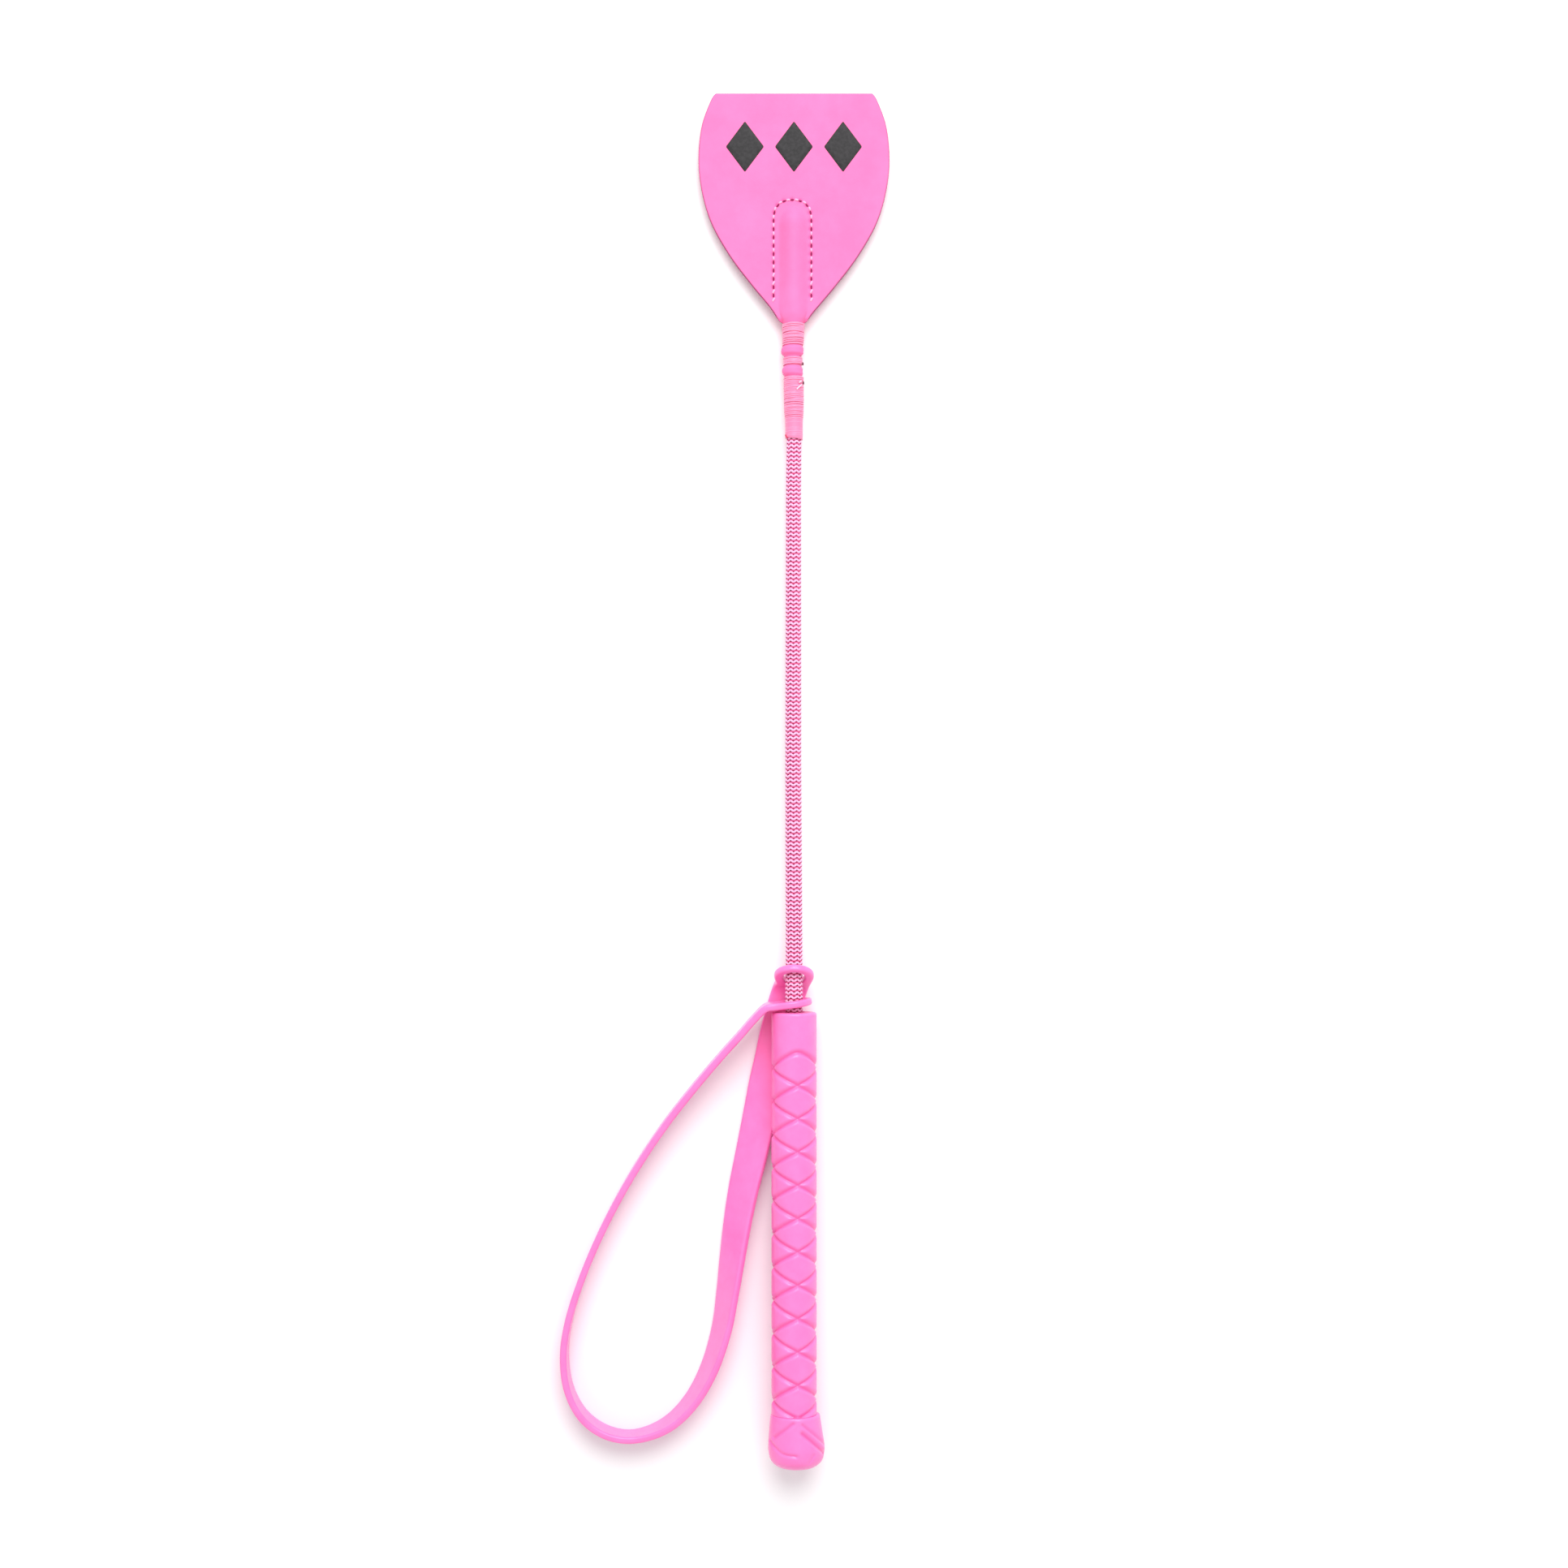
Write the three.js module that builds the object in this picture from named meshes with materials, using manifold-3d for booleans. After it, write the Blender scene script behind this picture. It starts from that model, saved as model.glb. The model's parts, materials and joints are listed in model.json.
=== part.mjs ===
// A short riding crop lying on a floor: a braided glass-fibre shaft in a moulded grip, a
// two-ply leather tongue bound onto the far end, and a one-piece rubber wrist strap whose
// two eyes turn on the shaft just past the grip. Millimetres, +Z up, +Y towards the tongue.
// The crop's own pieces are drawn along Y, with y = 0 at the butt and the shaft's axis on
// x = 0, z = 0. The group is then tilted, because the grip rests higher than the tongue.
import * as THREE from 'three';
import { mergeVertices } from 'three/addons/utils/BufferGeometryUtils.js';
import Module from 'manifold-3d';

const wasm = await Module();
wasm.setup();

// ---- driving dimensions ----
const LENGTH = 457.2; // butt to tip, the 18 inch size
const SEGMENTS = 40; // facets round each turned piece
const PLY_GAP = 0.1; // half the gap left between the two leather plies
const WRAP_GAP = 0.12; // gap between one wrapped layer and the next

const ROD_RADIUS = 1.6;
const ROD_START = 22;
const ROD_END = 417;
const BRAID_INNER = 1.85;
const BRAID_RADIUS = 2.55;
const BRAID_START = 62;
const BRAID_END = 416.4;

const GRIP_RADIUS = 7.5;
const GRIP_INNER = 5.5;
const GRIP_START = 18.1;
const GRIP_END = 150.4;
const GRIP_LIP = 3.7; // thickness of the closed top of the grip
const CORE_RADIUS = 5.2;
const CORE_START = 7.3;
const SHAFT_BORE = 2.85; // hole that the braided shaft passes through

const POMMEL_END = 17.8;
const POMMEL_SOCKET = 7; // depth at which the pommel's socket ends
const POMMEL_RADIUS = 9.35;
const POMMEL_FLAT = 3; // radius of the flat on the butt

const PLY = 1.3; // thickness of one leather ply
const TONGUE_START = 380.4;
const TONGUE_HALF_TOP = 26.2; // half width of the straight tip edge
const POCKET_START = 412.2; // where the pocket's rounded end begins
const POCKET_RADIUS = BRAID_RADIUS + 0.1 + PLY;
const FLEX_LINE = 426.5; // the leather bends here, past the end of the shaft
const FLEX_GAP = 1.2; // clear space on each side of the flex line
const NECK_START = 351.5;
const NECK_INNER = BRAID_RADIUS + 0.1;
const NECK_RADIUS = 2.95;

const STITCH_HALF = 6.3; // half the distance between the two rows of stitches
const STITCH_MIDDLE = -0.5; // the rows sit a little to the left of the shaft
const STITCH_START = 387.8;
const STITCH_ARC = 415.1; // where the rows meet the half circle round the pocket
const THREAD_RADIUS = 0.3;

const STRAP_WIDTH = 11.5;
const STRAP_THICK = 2.3;
const EYE_RADIUS = 6.6;
const EYE_HOLE = 3.7;
const UPPER_EYE_STRETCH = 1.2; // the leaning eye's hole is this much longer than wide

const GRIP_TOP_HEIGHT = 10.2; // height of the shaft's axis over the floor at the grip's end
const TILT = Math.atan((GRIP_TOP_HEIGHT - POCKET_RADIUS) / (POCKET_START - GRIP_END));

// ---- materials ----
function material(color, roughness) {
  return new THREE.MeshStandardMaterial({ color, roughness, metalness: 0 });
}
const FIBRE = material(0xe9e2cf, 0.45);
const BRAID = material(0xf4bfe0, 0.55);
const GRIP = material(0xff8ad6, 0.42);
const WOOD = material(0xd9b98c, 0.7);
const LEATHER = material(0xff8cd8, 0.5);
const THREAD = material(0xff9dbd, 0.6);
const STITCH = material(0xf3c9e4, 0.6);
const RUBBER = material(0xff84d2, 0.3);

// ---- helpers ----

// Merges a geometry's corners by position and drops the triangles that close up.
function weld(geometry) {
  const bare = geometry.clone();
  bare.deleteAttribute('normal');
  bare.deleteAttribute('uv');
  const merged = mergeVertices(bare, 1e-4);
  const index = merged.index.array;
  const kept = [];
  for (let i = 0; i < index.length; i += 3) {
    const [a, b, c] = [index[i], index[i + 1], index[i + 2]];
    if (a !== b && b !== c && c !== a) kept.push(a, b, c);
  }
  merged.setIndex(kept);
  return merged;
}

function toSolid(geometry) {
  const merged = weld(geometry);
  return new wasm.Manifold(new wasm.Mesh({
    numProp: 3,
    vertProperties: new Float32Array(merged.attributes.position.array),
    triVerts: new Uint32Array(merged.index.array),
  }));
}

function fromSolid(solid) {
  const mesh = solid.getMesh();
  const geometry = new THREE.BufferGeometry();
  geometry.setAttribute('position', new THREE.BufferAttribute(mesh.vertProperties, 3));
  geometry.setIndex(new THREE.BufferAttribute(mesh.triVerts, 1));
  geometry.computeVertexNormals();
  return geometry;
}

// A body turned about Y from [radius, y] pairs, given up the outside and down the inside.
function turned(profile) {
  const points = profile.map(([radius, y]) => new THREE.Vector2(radius, y));
  return weld(new THREE.LatheGeometry(points, SEGMENTS));
}

// A tube wall between two radii, from y = start to y = end.
function sleeve(inner, outer, start, end) {
  return turned([[outer, start], [outer, end], [inner, end], [inner, start], [outer, start]]);
}

function block(low, high) {
  const size = new THREE.Vector3().subVectors(high, low);
  const centre = new THREE.Vector3().addVectors(low, high).multiplyScalar(0.5);
  const geometry = new THREE.BoxGeometry(size.x, size.y, size.z);
  return toSolid(geometry.translate(centre.x, centre.y, centre.z));
}

// A closed body through rings of the same number of corners, with a flat cap at each end.
function skin(rings) {
  const sides = rings[0].length;
  const positions = [];
  const index = [];
  for (const ring of rings) for (const corner of ring) positions.push(...corner);
  for (let r = 0; r + 1 < rings.length; r++) {
    for (let k = 0; k < sides; k++) {
      const a = r * sides + k;
      const b = r * sides + ((k + 1) % sides);
      index.push(a, b, b + sides, a, b + sides, a + sides);
    }
  }
  const last = (rings.length - 1) * sides;
  for (let k = 1; k + 1 < sides; k++) {
    index.push(0, k + 1, k);
    index.push(last, last + k, last + k + 1);
  }
  const geometry = new THREE.BufferGeometry();
  geometry.setAttribute('position', new THREE.Float32BufferAttribute(positions, 3));
  geometry.setIndex(index);
  return geometry;
}

function piece(name, geometry, finish) {
  const mesh = new THREE.Mesh(geometry, finish);
  mesh.name = name;
  return mesh;
}

// ---- shaft ----

function coreRod() {
  const tip = ROD_RADIUS - 0.4;
  return piece('core_rod', turned([
    [0, ROD_START], [ROD_RADIUS, ROD_START], [ROD_RADIUS, ROD_END - 0.4], [tip, ROD_END],
    [0, ROD_END],
  ]), FIBRE);
}

function braidSleeve() {
  return piece('braid_sleeve', sleeve(BRAID_INNER, BRAID_RADIUS, BRAID_START, BRAID_END), BRAID);
}

// ---- handle ----

// The filler that takes the grip's bore down to the shaft: a wide bore for the braided
// length and a narrow blind one for the bare end of the rod.
function handleCore() {
  const end = GRIP_END - GRIP_LIP - 0.3;
  const narrow = ROD_RADIUS + 0.25;
  return piece('handle_core', turned([
    [0, CORE_START], [CORE_RADIUS, CORE_START], [CORE_RADIUS, end], [SHAFT_BORE, end],
    [SHAFT_BORE, BRAID_START - 0.3], [narrow, BRAID_START - 0.3], [narrow, ROD_START - 0.3],
    [0, ROD_START - 0.3],
  ]), WOOD);
}

function gripSleeve() {
  const rim = 0.8;
  const shoulder = GRIP_END - GRIP_LIP;
  return piece('grip_sleeve', turned([
    [GRIP_INNER, GRIP_START], [GRIP_RADIUS, GRIP_START], [GRIP_RADIUS, GRIP_END - rim],
    [GRIP_RADIUS - 0.3 * rim, GRIP_END - 0.3 * rim], [GRIP_RADIUS - rim, GRIP_END],
    [SHAFT_BORE, GRIP_END], [SHAFT_BORE, shoulder], [GRIP_INNER, shoulder],
    [GRIP_INNER, GRIP_START],
  ]), GRIP);
}

// The bulb at the butt: a flat, a domed end, the widest ring, and a ledge round the grip.
function pommelCap() {
  const outer = new THREE.CatmullRomCurve3([
    new THREE.Vector3(POMMEL_FLAT, 0, 0),
    new THREE.Vector3(6.4, 0.9, 0),
    new THREE.Vector3(8.5, 2.8, 0),
    new THREE.Vector3(POMMEL_RADIUS, 6.4, 0),
    new THREE.Vector3(8.9, 11.5, 0),
    new THREE.Vector3(8.25, POMMEL_END - 0.8, 0),
  ]).getPoints(14).map((p) => [p.x, p.y]);
  return piece('pommel_cap', turned([
    [0, 0], ...outer, [7.8, POMMEL_END], [GRIP_INNER, POMMEL_END],
    [GRIP_INNER, POMMEL_SOCKET], [0, POMMEL_SOCKET],
  ]), GRIP);
}

// ---- leather tongue ----

// The tongue's outline: narrow at the neck, widest past the middle, cut straight at the tip.
function tongueShape() {
  const side = [
    [4.5, TONGUE_START], [8.0, 384.8], [14.6, 392.9], [21.8, 402.8], [28.0, 414.6],
    [31.3, 427], [31.9, 436.5], [30.8, 446.5], [28.6, 453], [27.1, LENGTH - 1],
  ].map(([x, y]) => new THREE.Vector2(x, y));
  const curve = new THREE.SplineCurve(side).getPoints(26);
  const tip = new THREE.Vector2(TONGUE_HALF_TOP, LENGTH);
  const right = [...curve, tip];
  const left = right.map((p) => new THREE.Vector2(-p.x, p.y)).reverse();
  return new THREE.Shape([...right, ...left]);
}

function tonguePlate() {
  const depth = PLY;
  const plate = new THREE.ExtrudeGeometry(tongueShape(), { depth, bevelEnabled: false });
  return toSolid(plate.translate(0, 0, PLY_GAP));
}

// The leather neck under the bindings, swelling between them, and the pocket that holds
// the end of the shaft.
function neckAndPocket() {
  const profile = [
    [0, NECK_START], [NECK_RADIUS, NECK_START], [NECK_RADIUS, 362.6], [3.4, 363.2],
    [3.5, 364], [3.4, 364.8], [NECK_RADIUS, 365.4], [NECK_RADIUS, 369.1], [3.7, 369.7],
    [3.9, 370.6], [3.8, 371.6], [3.4, 372.2], [3.4, 380.4], [POCKET_RADIUS, 381],
  ];
  const steps = 8;
  for (let k = 0; k <= steps; k++) {
    const turn = (k / steps) * (Math.PI / 2);
    const radius = k === steps ? 0 : POCKET_RADIUS * Math.cos(turn);
    profile.push([radius, POCKET_START + (POCKET_RADIUS + 2.9) * Math.sin(turn)]);
  }
  return toSolid(turned(profile));
}

// The hole that the braided shaft and the end of its rod fill, inside the leather.
function shaftHole() {
  return toSolid(turned([
    [0, NECK_START - 1], [NECK_INNER, NECK_START - 1], [NECK_INNER, BRAID_END + 0.3],
    [ROD_RADIUS + 0.2, ROD_END + 0.3], [0, ROD_END + 0.3],
  ]));
}

// One ply is drawn as the front one; the back one is the same piece turned over.
function tonguePlies() {
  const width = 40;
  const lower = block(
    new THREE.Vector3(-width, NECK_START - 1, PLY_GAP),
    new THREE.Vector3(width, FLEX_LINE - FLEX_GAP, width),
  );
  const upper = block(
    new THREE.Vector3(-width, FLEX_LINE + FLEX_GAP, PLY_GAP),
    new THREE.Vector3(width, LENGTH + 1, width),
  );
  const plate = tonguePlate();
  const base = plate.add(neckAndPocket()).subtract(shaftHole()).intersect(lower);
  const flap = plate.intersect(upper);
  const group = new THREE.Group();
  for (const [side, turn] of [['front', 0], ['back', Math.PI]]) {
    const ply = new THREE.Group();
    ply.rotation.y = turn;
    ply.add(piece(`tongue_${side}_base`, fromSolid(base), LEATHER));
    ply.add(piece(`tongue_${side}_flap`, fromSolid(flap), LEATHER));
    group.add(ply);
  }
  return group;
}

// The U of stitches round the pocket, as points in the tongue's plane.
function stitchRoute() {
  const route = [new THREE.Vector3(STITCH_MIDDLE - STITCH_HALF, STITCH_START, 0)];
  const turns = 12;
  for (let k = 0; k <= turns; k++) {
    const angle = Math.PI * (1 - k / turns);
    const x = STITCH_MIDDLE + STITCH_HALF * Math.cos(angle);
    route.push(new THREE.Vector3(x, STITCH_ARC + STITCH_HALF * Math.sin(angle), 0));
  }
  route.push(new THREE.Vector3(STITCH_MIDDLE + STITCH_HALF, STITCH_START, 0));
  return route;
}

// The thread that closes the pocket, lying on one face of the tongue.
function stitchThread(name, side) {
  const sides = 8;
  const height = side * (PLY_GAP + PLY + WRAP_GAP + THREAD_RADIUS);
  const route = stitchRoute();
  const rings = route.map((point, k) => {
    const ahead = route[Math.min(k + 1, route.length - 1)];
    const behind = route[Math.max(k - 1, 0)];
    const along = new THREE.Vector3().subVectors(ahead, behind).normalize();
    const across = new THREE.Vector3(-along.y, along.x, 0);
    const corners = [];
    for (let i = 0; i < sides; i++) {
      const angle = (i / sides) * 2 * Math.PI;
      const out = THREAD_RADIUS * Math.cos(angle);
      const up = THREAD_RADIUS * Math.sin(angle);
      corners.push([point.x + across.x * out, point.y + across.y * out, height + up]);
    }
    return corners;
  });
  return piece(name, skin(rings), STITCH);
}

// ---- thread bindings over the neck ----

function bindings() {
  const snug = NECK_RADIUS + WRAP_GAP;
  const bare = BRAID_RADIUS + WRAP_GAP;
  const broad = 3.4 + WRAP_GAP;
  const lower = turned([
    [bare, 341.2], [2.92, 341.2], [2.98, 347.8], [3.25, 349.4], [3.4, 354], [3.45, 362.3],
    [snug, 362.3], [snug, NECK_START - 0.3], [bare, NECK_START - 0.5], [bare, 341.2],
  ]);
  return [
    piece('binding_lower', lower, THREAD),
    piece('binding_middle', sleeve(snug, 3.4, 365.7, 368.8), THREAD),
    piece('binding_upper', sleeve(broad, 3.95, 372.5, 380.1), THREAD),
  ];
}

// ---- wrist strap ----

// The middle of the strap from the tip of its upper eye, down the side that lies under the
// grip, round the loop and back to the tip of its lower eye, with the direction in which
// the strap's width runs. The floor is z = 0 and the shaft's axis crosses x = 0.
const FLAT = STRAP_THICK / 2;
const EDGE = STRAP_WIDTH / 2;

// Width direction and height of a stretch that leans by an angle out of the floor. The lift
// raises a flat stretch just clear of the floor where the strap starts to climb to its eye.
function leaning(x, y, heading, degrees, lift = 0) {
  const lean = THREE.MathUtils.degToRad(degrees);
  const turn = THREE.MathUtils.degToRad(heading);
  const height = EDGE * Math.sin(lean) + FLAT * Math.cos(lean) + lift;
  return {
    at: new THREE.Vector3(x, y, height),
    width: new THREE.Vector3(
      Math.cos(lean) * Math.cos(turn), Math.cos(lean) * Math.sin(turn), Math.sin(lean)),
  };
}

function upright(x, y, height = EDGE) {
  return { at: new THREE.Vector3(x, y, height), width: new THREE.Vector3(0, 0, 1) };
}

// The height of the shaft's axis above the floor, y millimetres from the butt.
function axisHeight(y) {
  return GRIP_TOP_HEIGHT + (GRIP_END - y) * Math.tan(TILT);
}

// The lower eye is pulled to the left by the slack of its hole on the shaft.
const UPPER_EYE = { x: 0, y: 162.5, lean: THREE.MathUtils.degToRad(30) };
const LOWER_EYE = { x: -0.6, y: 153.2, turn: THREE.MathUtils.degToRad(8) };

function upperEyePoint(distance) {
  const { x, y, lean } = UPPER_EYE;
  return {
    at: new THREE.Vector3(
      x, y + distance * Math.sin(lean), axisHeight(y) + distance * Math.cos(lean)),
    width: new THREE.Vector3(1, 0, 0),
  };
}

function lowerEyePoint(distance) {
  const { x, y, turn } = LOWER_EYE;
  return {
    at: new THREE.Vector3(
      x + distance * Math.cos(turn), y + distance * Math.sin(turn), axisHeight(y)),
    width: new THREE.Vector3(0, 0, 1),
  };
}

const STRAP_ROUTE = [
  upperEyePoint(EYE_RADIUS),
  upperEyePoint(3.3),
  upperEyePoint(0),
  upperEyePoint(-3.3),
  upperEyePoint(-5.8),
  { at: new THREE.Vector3(-0.6, 158.4, 2.9), width: new THREE.Vector3(0.99, -0.1, 0) },
  leaning(-1.6, 155.9, -12, 0, 0.45),
  leaning(-3.3, 151.3, -13, 0, 0.14),
  leaning(-5.2, 144.5, -13, 0, 0.06),
  leaning(-7.4, 134.1, -12, 3),
  leaning(-9.3, 126.0, -12, 8),
  leaning(-10.9, 117.8, -12, 13),
  leaning(-12.6, 109.6, -12, 20),
  leaning(-14.5, 101.0, -11, 27),
  leaning(-16.8, 91.0, -10, 35),
  leaning(-19.0, 78.8, -9, 43),
  leaning(-20.7, 67.0, -8, 50),
  leaning(-22.2, 56.0, -9, 57),
  leaning(-24.2, 44.0, -13, 63),
  leaning(-28.4, 30.8, -25, 69),
  leaning(-34.1, 20.5, -41, 75),
  leaning(-41.2, 13.2, -57, 81),
  leaning(-48.8, 9.4, -76, 87),
  upright(-56.2, 8.3),
  upright(-63.8, 10.3),
  upright(-70.6, 15.6),
  upright(-75.2, 24.5),
  upright(-76.6, 36.0),
  upright(-75.0, 47.5),
  upright(-70.2, 62.5),
  upright(-63.1, 78.8, 5.8),
  upright(-54.4, 95.0, 6.2),
  upright(-43.8, 111.3, 6.8),
  upright(-33.8, 124.3, 7.6),
  upright(-24.3, 135.6, 8.5),
  upright(-17.6, 143.1, 9.2),
  upright(-13.2, 148.2, 9.7),
  lowerEyePoint(-8.6),
  lowerEyePoint(-5.6),
  lowerEyePoint(-2.8),
  lowerEyePoint(0),
  lowerEyePoint(3.3),
  lowerEyePoint(EYE_RADIUS),
];

// How far the strap reaches on each side of its middle, from the distance to its nearer
// end: a half circle round each eye, then easing down to the band's own width.
function strapHalfWidth(fromEnd) {
  const cap = 1.3;
  if (fromEnd < EYE_RADIUS) {
    const beyond = EYE_RADIUS - fromEnd;
    return Math.max(cap, Math.sqrt(EYE_RADIUS ** 2 - beyond ** 2));
  }
  const ease = THREE.MathUtils.smoothstep(fromEnd, EYE_RADIUS + 1, EYE_RADIUS + 9);
  return THREE.MathUtils.lerp(EYE_RADIUS, EDGE, ease);
}

// Distances along the strap at which it gets a section: close together round the eyes.
function strapStations(length) {
  const near = [0, 0.25, 0.8, 1.7, 3, 4.8, 6.6, 8.6, 10.5, 12.5, 14.5, 17, 20];
  const stations = [...near];
  const middle = 62;
  const [start, end] = [near[near.length - 1], length - near[near.length - 1]];
  for (let k = 1; k < middle; k++) stations.push(start + ((end - start) * k) / middle);
  return [...stations, ...near.map((d) => length - d).reverse()];
}

// The strap's section: a flat band with rounded edges, as [across, through] fractions.
function strapSection(centre, across, through, half) {
  const round = 0.75;
  const corners = [
    [half, FLAT - round], [half - round, FLAT], [round - half, FLAT], [-half, FLAT - round],
    [-half, round - FLAT], [round - half, -FLAT], [half - round, -FLAT], [half, round - FLAT],
  ];
  return corners.map(([a, t]) => [
    centre.x + across.x * a + through.x * t,
    centre.y + across.y * a + through.y * t,
    centre.z + across.z * a + through.z * t,
  ]);
}

function strapBand() {
  const route = new THREE.CatmullRomCurve3(STRAP_ROUTE.map((stop) => stop.at), false, 'centripetal');
  route.arcLengthDivisions = 2000;
  const widths = new THREE.CatmullRomCurve3(STRAP_ROUTE.map((stop) => stop.width));
  const length = route.getLength();
  const rings = strapStations(length).map((distance) => {
    const share = route.getUtoTmapping(distance / length);
    const centre = route.getPoint(share);
    const along = route.getTangent(share);
    const across = widths.getPoint(share);
    across.addScaledVector(along, -across.dot(along)).normalize();
    const through = new THREE.Vector3().crossVectors(along, across);
    const half = strapHalfWidth(Math.min(distance, length - distance));
    return strapSection(centre, across, through, half);
  });
  return toSolid(skin(rings));
}

// The tool that cuts an eye's hole, along the direction in which the shaft goes through it.
function eyeHole(eye, normal, stretch) {
  const punch = new THREE.CylinderGeometry(EYE_HOLE, EYE_HOLE, 4 * STRAP_THICK, 28);
  punch.scale(1, 1, stretch);
  const upwards = new THREE.Vector3(0, 0, 1);
  const sideways = new THREE.Vector3().crossVectors(normal, upwards).normalize();
  const lengthwise = new THREE.Vector3().crossVectors(sideways, normal);
  const basis = new THREE.Matrix4().makeBasis(sideways, normal, lengthwise);
  basis.setPosition(eye.x, eye.y, axisHeight(eye.y));
  return toSolid(punch.applyMatrix4(basis));
}

function wristStrap() {
  const { lean } = UPPER_EYE;
  const { turn } = LOWER_EYE;
  const upperNormal = new THREE.Vector3(0, Math.cos(lean), -Math.sin(lean));
  const lowerNormal = new THREE.Vector3(-Math.sin(turn), Math.cos(turn), 0);
  const band = strapBand()
    .subtract(eyeHole(UPPER_EYE, upperNormal, UPPER_EYE_STRETCH))
    .subtract(eyeHole(LOWER_EYE, lowerNormal, 1));
  return piece('wrist_strap', fromSolid(band), RUBBER);
}

// ---- assembly ----

function crop() {
  const group = new THREE.Group();
  group.add(coreRod(), braidSleeve(), handleCore(), gripSleeve(), pommelCap());
  group.add(tonguePlies(), ...bindings());
  group.add(stitchThread('stitch_thread_front', 1), stitchThread('stitch_thread_back', -1));
  group.rotation.x = -TILT;
  group.position.z = GRIP_TOP_HEIGHT + GRIP_END * Math.sin(TILT);
  return group;
}

// The whole stands on z = 0 with the middle of its box over the origin.
function ridingCrop() {
  const whole = new THREE.Group();
  whole.add(crop(), wristStrap());
  whole.updateMatrixWorld(true);
  const box = new THREE.Box3().setFromObject(whole, true);
  const middle = box.getCenter(new THREE.Vector3());
  whole.position.set(-middle.x, -middle.y, -box.min.z);
  return whole;
}

export default ridingCrop();
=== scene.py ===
"""A pink riding crop lying on a pale floor: braided shaft, moulded grip and bulb, bound
leather tongue and a one-piece rubber wrist strap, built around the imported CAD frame.

The crop's pieces are drawn in its own millimetres: x across, s along the shaft from the
butt, z out of the tongue's front face. place() turns those into metres in the CAD frame.
"""

import json
import math

import bmesh
import bpy
import numpy as np
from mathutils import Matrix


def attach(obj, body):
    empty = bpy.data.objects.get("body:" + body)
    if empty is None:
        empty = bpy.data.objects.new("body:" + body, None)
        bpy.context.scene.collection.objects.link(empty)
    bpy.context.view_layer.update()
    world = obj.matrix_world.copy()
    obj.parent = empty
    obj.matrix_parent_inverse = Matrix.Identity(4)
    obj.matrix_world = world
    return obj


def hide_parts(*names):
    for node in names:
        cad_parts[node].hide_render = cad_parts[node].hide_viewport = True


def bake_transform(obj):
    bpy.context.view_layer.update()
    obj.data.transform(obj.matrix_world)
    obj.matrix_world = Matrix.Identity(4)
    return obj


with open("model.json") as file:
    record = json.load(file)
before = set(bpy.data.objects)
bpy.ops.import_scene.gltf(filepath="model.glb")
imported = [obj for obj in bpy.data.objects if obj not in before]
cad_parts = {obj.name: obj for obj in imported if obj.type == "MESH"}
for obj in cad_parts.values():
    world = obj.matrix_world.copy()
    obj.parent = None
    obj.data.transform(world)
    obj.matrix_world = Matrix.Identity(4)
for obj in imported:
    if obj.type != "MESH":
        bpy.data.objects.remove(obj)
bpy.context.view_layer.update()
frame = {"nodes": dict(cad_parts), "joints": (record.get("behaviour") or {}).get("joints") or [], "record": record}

MM = 0.001
RANDOM = np.random.default_rng(11)

# ---- the crop's own frame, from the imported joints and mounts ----
JOINTS = {joint["name"]: joint for joint in frame["joints"]}
MOUNTS = {mount["name"]: mount for mount in frame["record"]["mounts"]}
ALONG = np.array(JOINTS["loop_swivel"]["axis"], float)
ALONG /= np.linalg.norm(ALONG)
ACROSS = np.array([1.0, 0.0, 0.0])
OUT = np.cross(ACROSS, ALONG)
SWIVEL = np.array(JOINTS["loop_swivel"]["pos_m"], float)
BUTT = SWIVEL - ALONG * ((SWIVEL - np.array(MOUNTS["butt_face"]["pos_m"], float)) @ ALONG)


def node_reach(node):
    """Where a node starts and ends along the shaft, in millimetres."""
    mesh = frame["nodes"][node].data
    points = np.empty(len(mesh.vertices) * 3)
    mesh.vertices.foreach_get("co", points)
    along = (points.reshape(-1, 3) - BUTT) @ ALONG / MM
    return along.min(), along.max()


def place(points):
    """Crop millimetres (x, s, z) to metres in the CAD frame."""
    flat = np.asarray(points, float).reshape(-1, 3) * MM
    return BUTT + flat[:, :1] * ACROSS + flat[:, 1:2] * ALONG + flat[:, 2:] * OUT


# ---- dimensions in millimetres ----
GRIP_START, GRIP_END = node_reach("grip_sleeve")
POMMEL_END = node_reach("pommel_cap")[1]
BRAID_START, BRAID_END = node_reach("braid_sleeve")
TIP = node_reach("tongue_front_flap")[1]
NECK_START = node_reach("tongue_front_base")[0]
GRIP_R = 7.5
GRIP_INNER = 5.5
GRIP_LIP = 3.7
SHAFT_BORE = 3.05
BRAID_R = 2.55
BRAID_BORE = 1.87
PLY = 1.3
PLY_GAP = 0.1
POCKET_INNER = BRAID_R + 0.1
POCKET_R = POCKET_INNER + PLY
POCKET_ROUND = 412.2  # where the pocket's rounded end begins
POCKET_END = 7.6  # how far the pocket takes to fade out beyond that
PLATE_START = 380.4  # where the flat of the tongue begins
STITCH_HALF = 6.3
STITCH_MIDDLE = -0.5
STITCH_START = 387.8
STITCH_ARC = 415.1
STITCH_SQUARE = 0.8  # 1 would make the arch a half circle
STRAP_WIDTH = 11.5
STRAP_THICK = 2.3
EYE_R = 6.6
EYE_HOLE = 3.7


# ---- numeric helpers ----

def smoothstep(low, high, value):
    share = np.clip((value - low) / (high - low), 0, 1)
    return share * share * (3 - 2 * share)


def unit(rows):
    """Each row of an array at length 1."""
    return rows / np.linalg.norm(rows, axis=1)[:, None]


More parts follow.
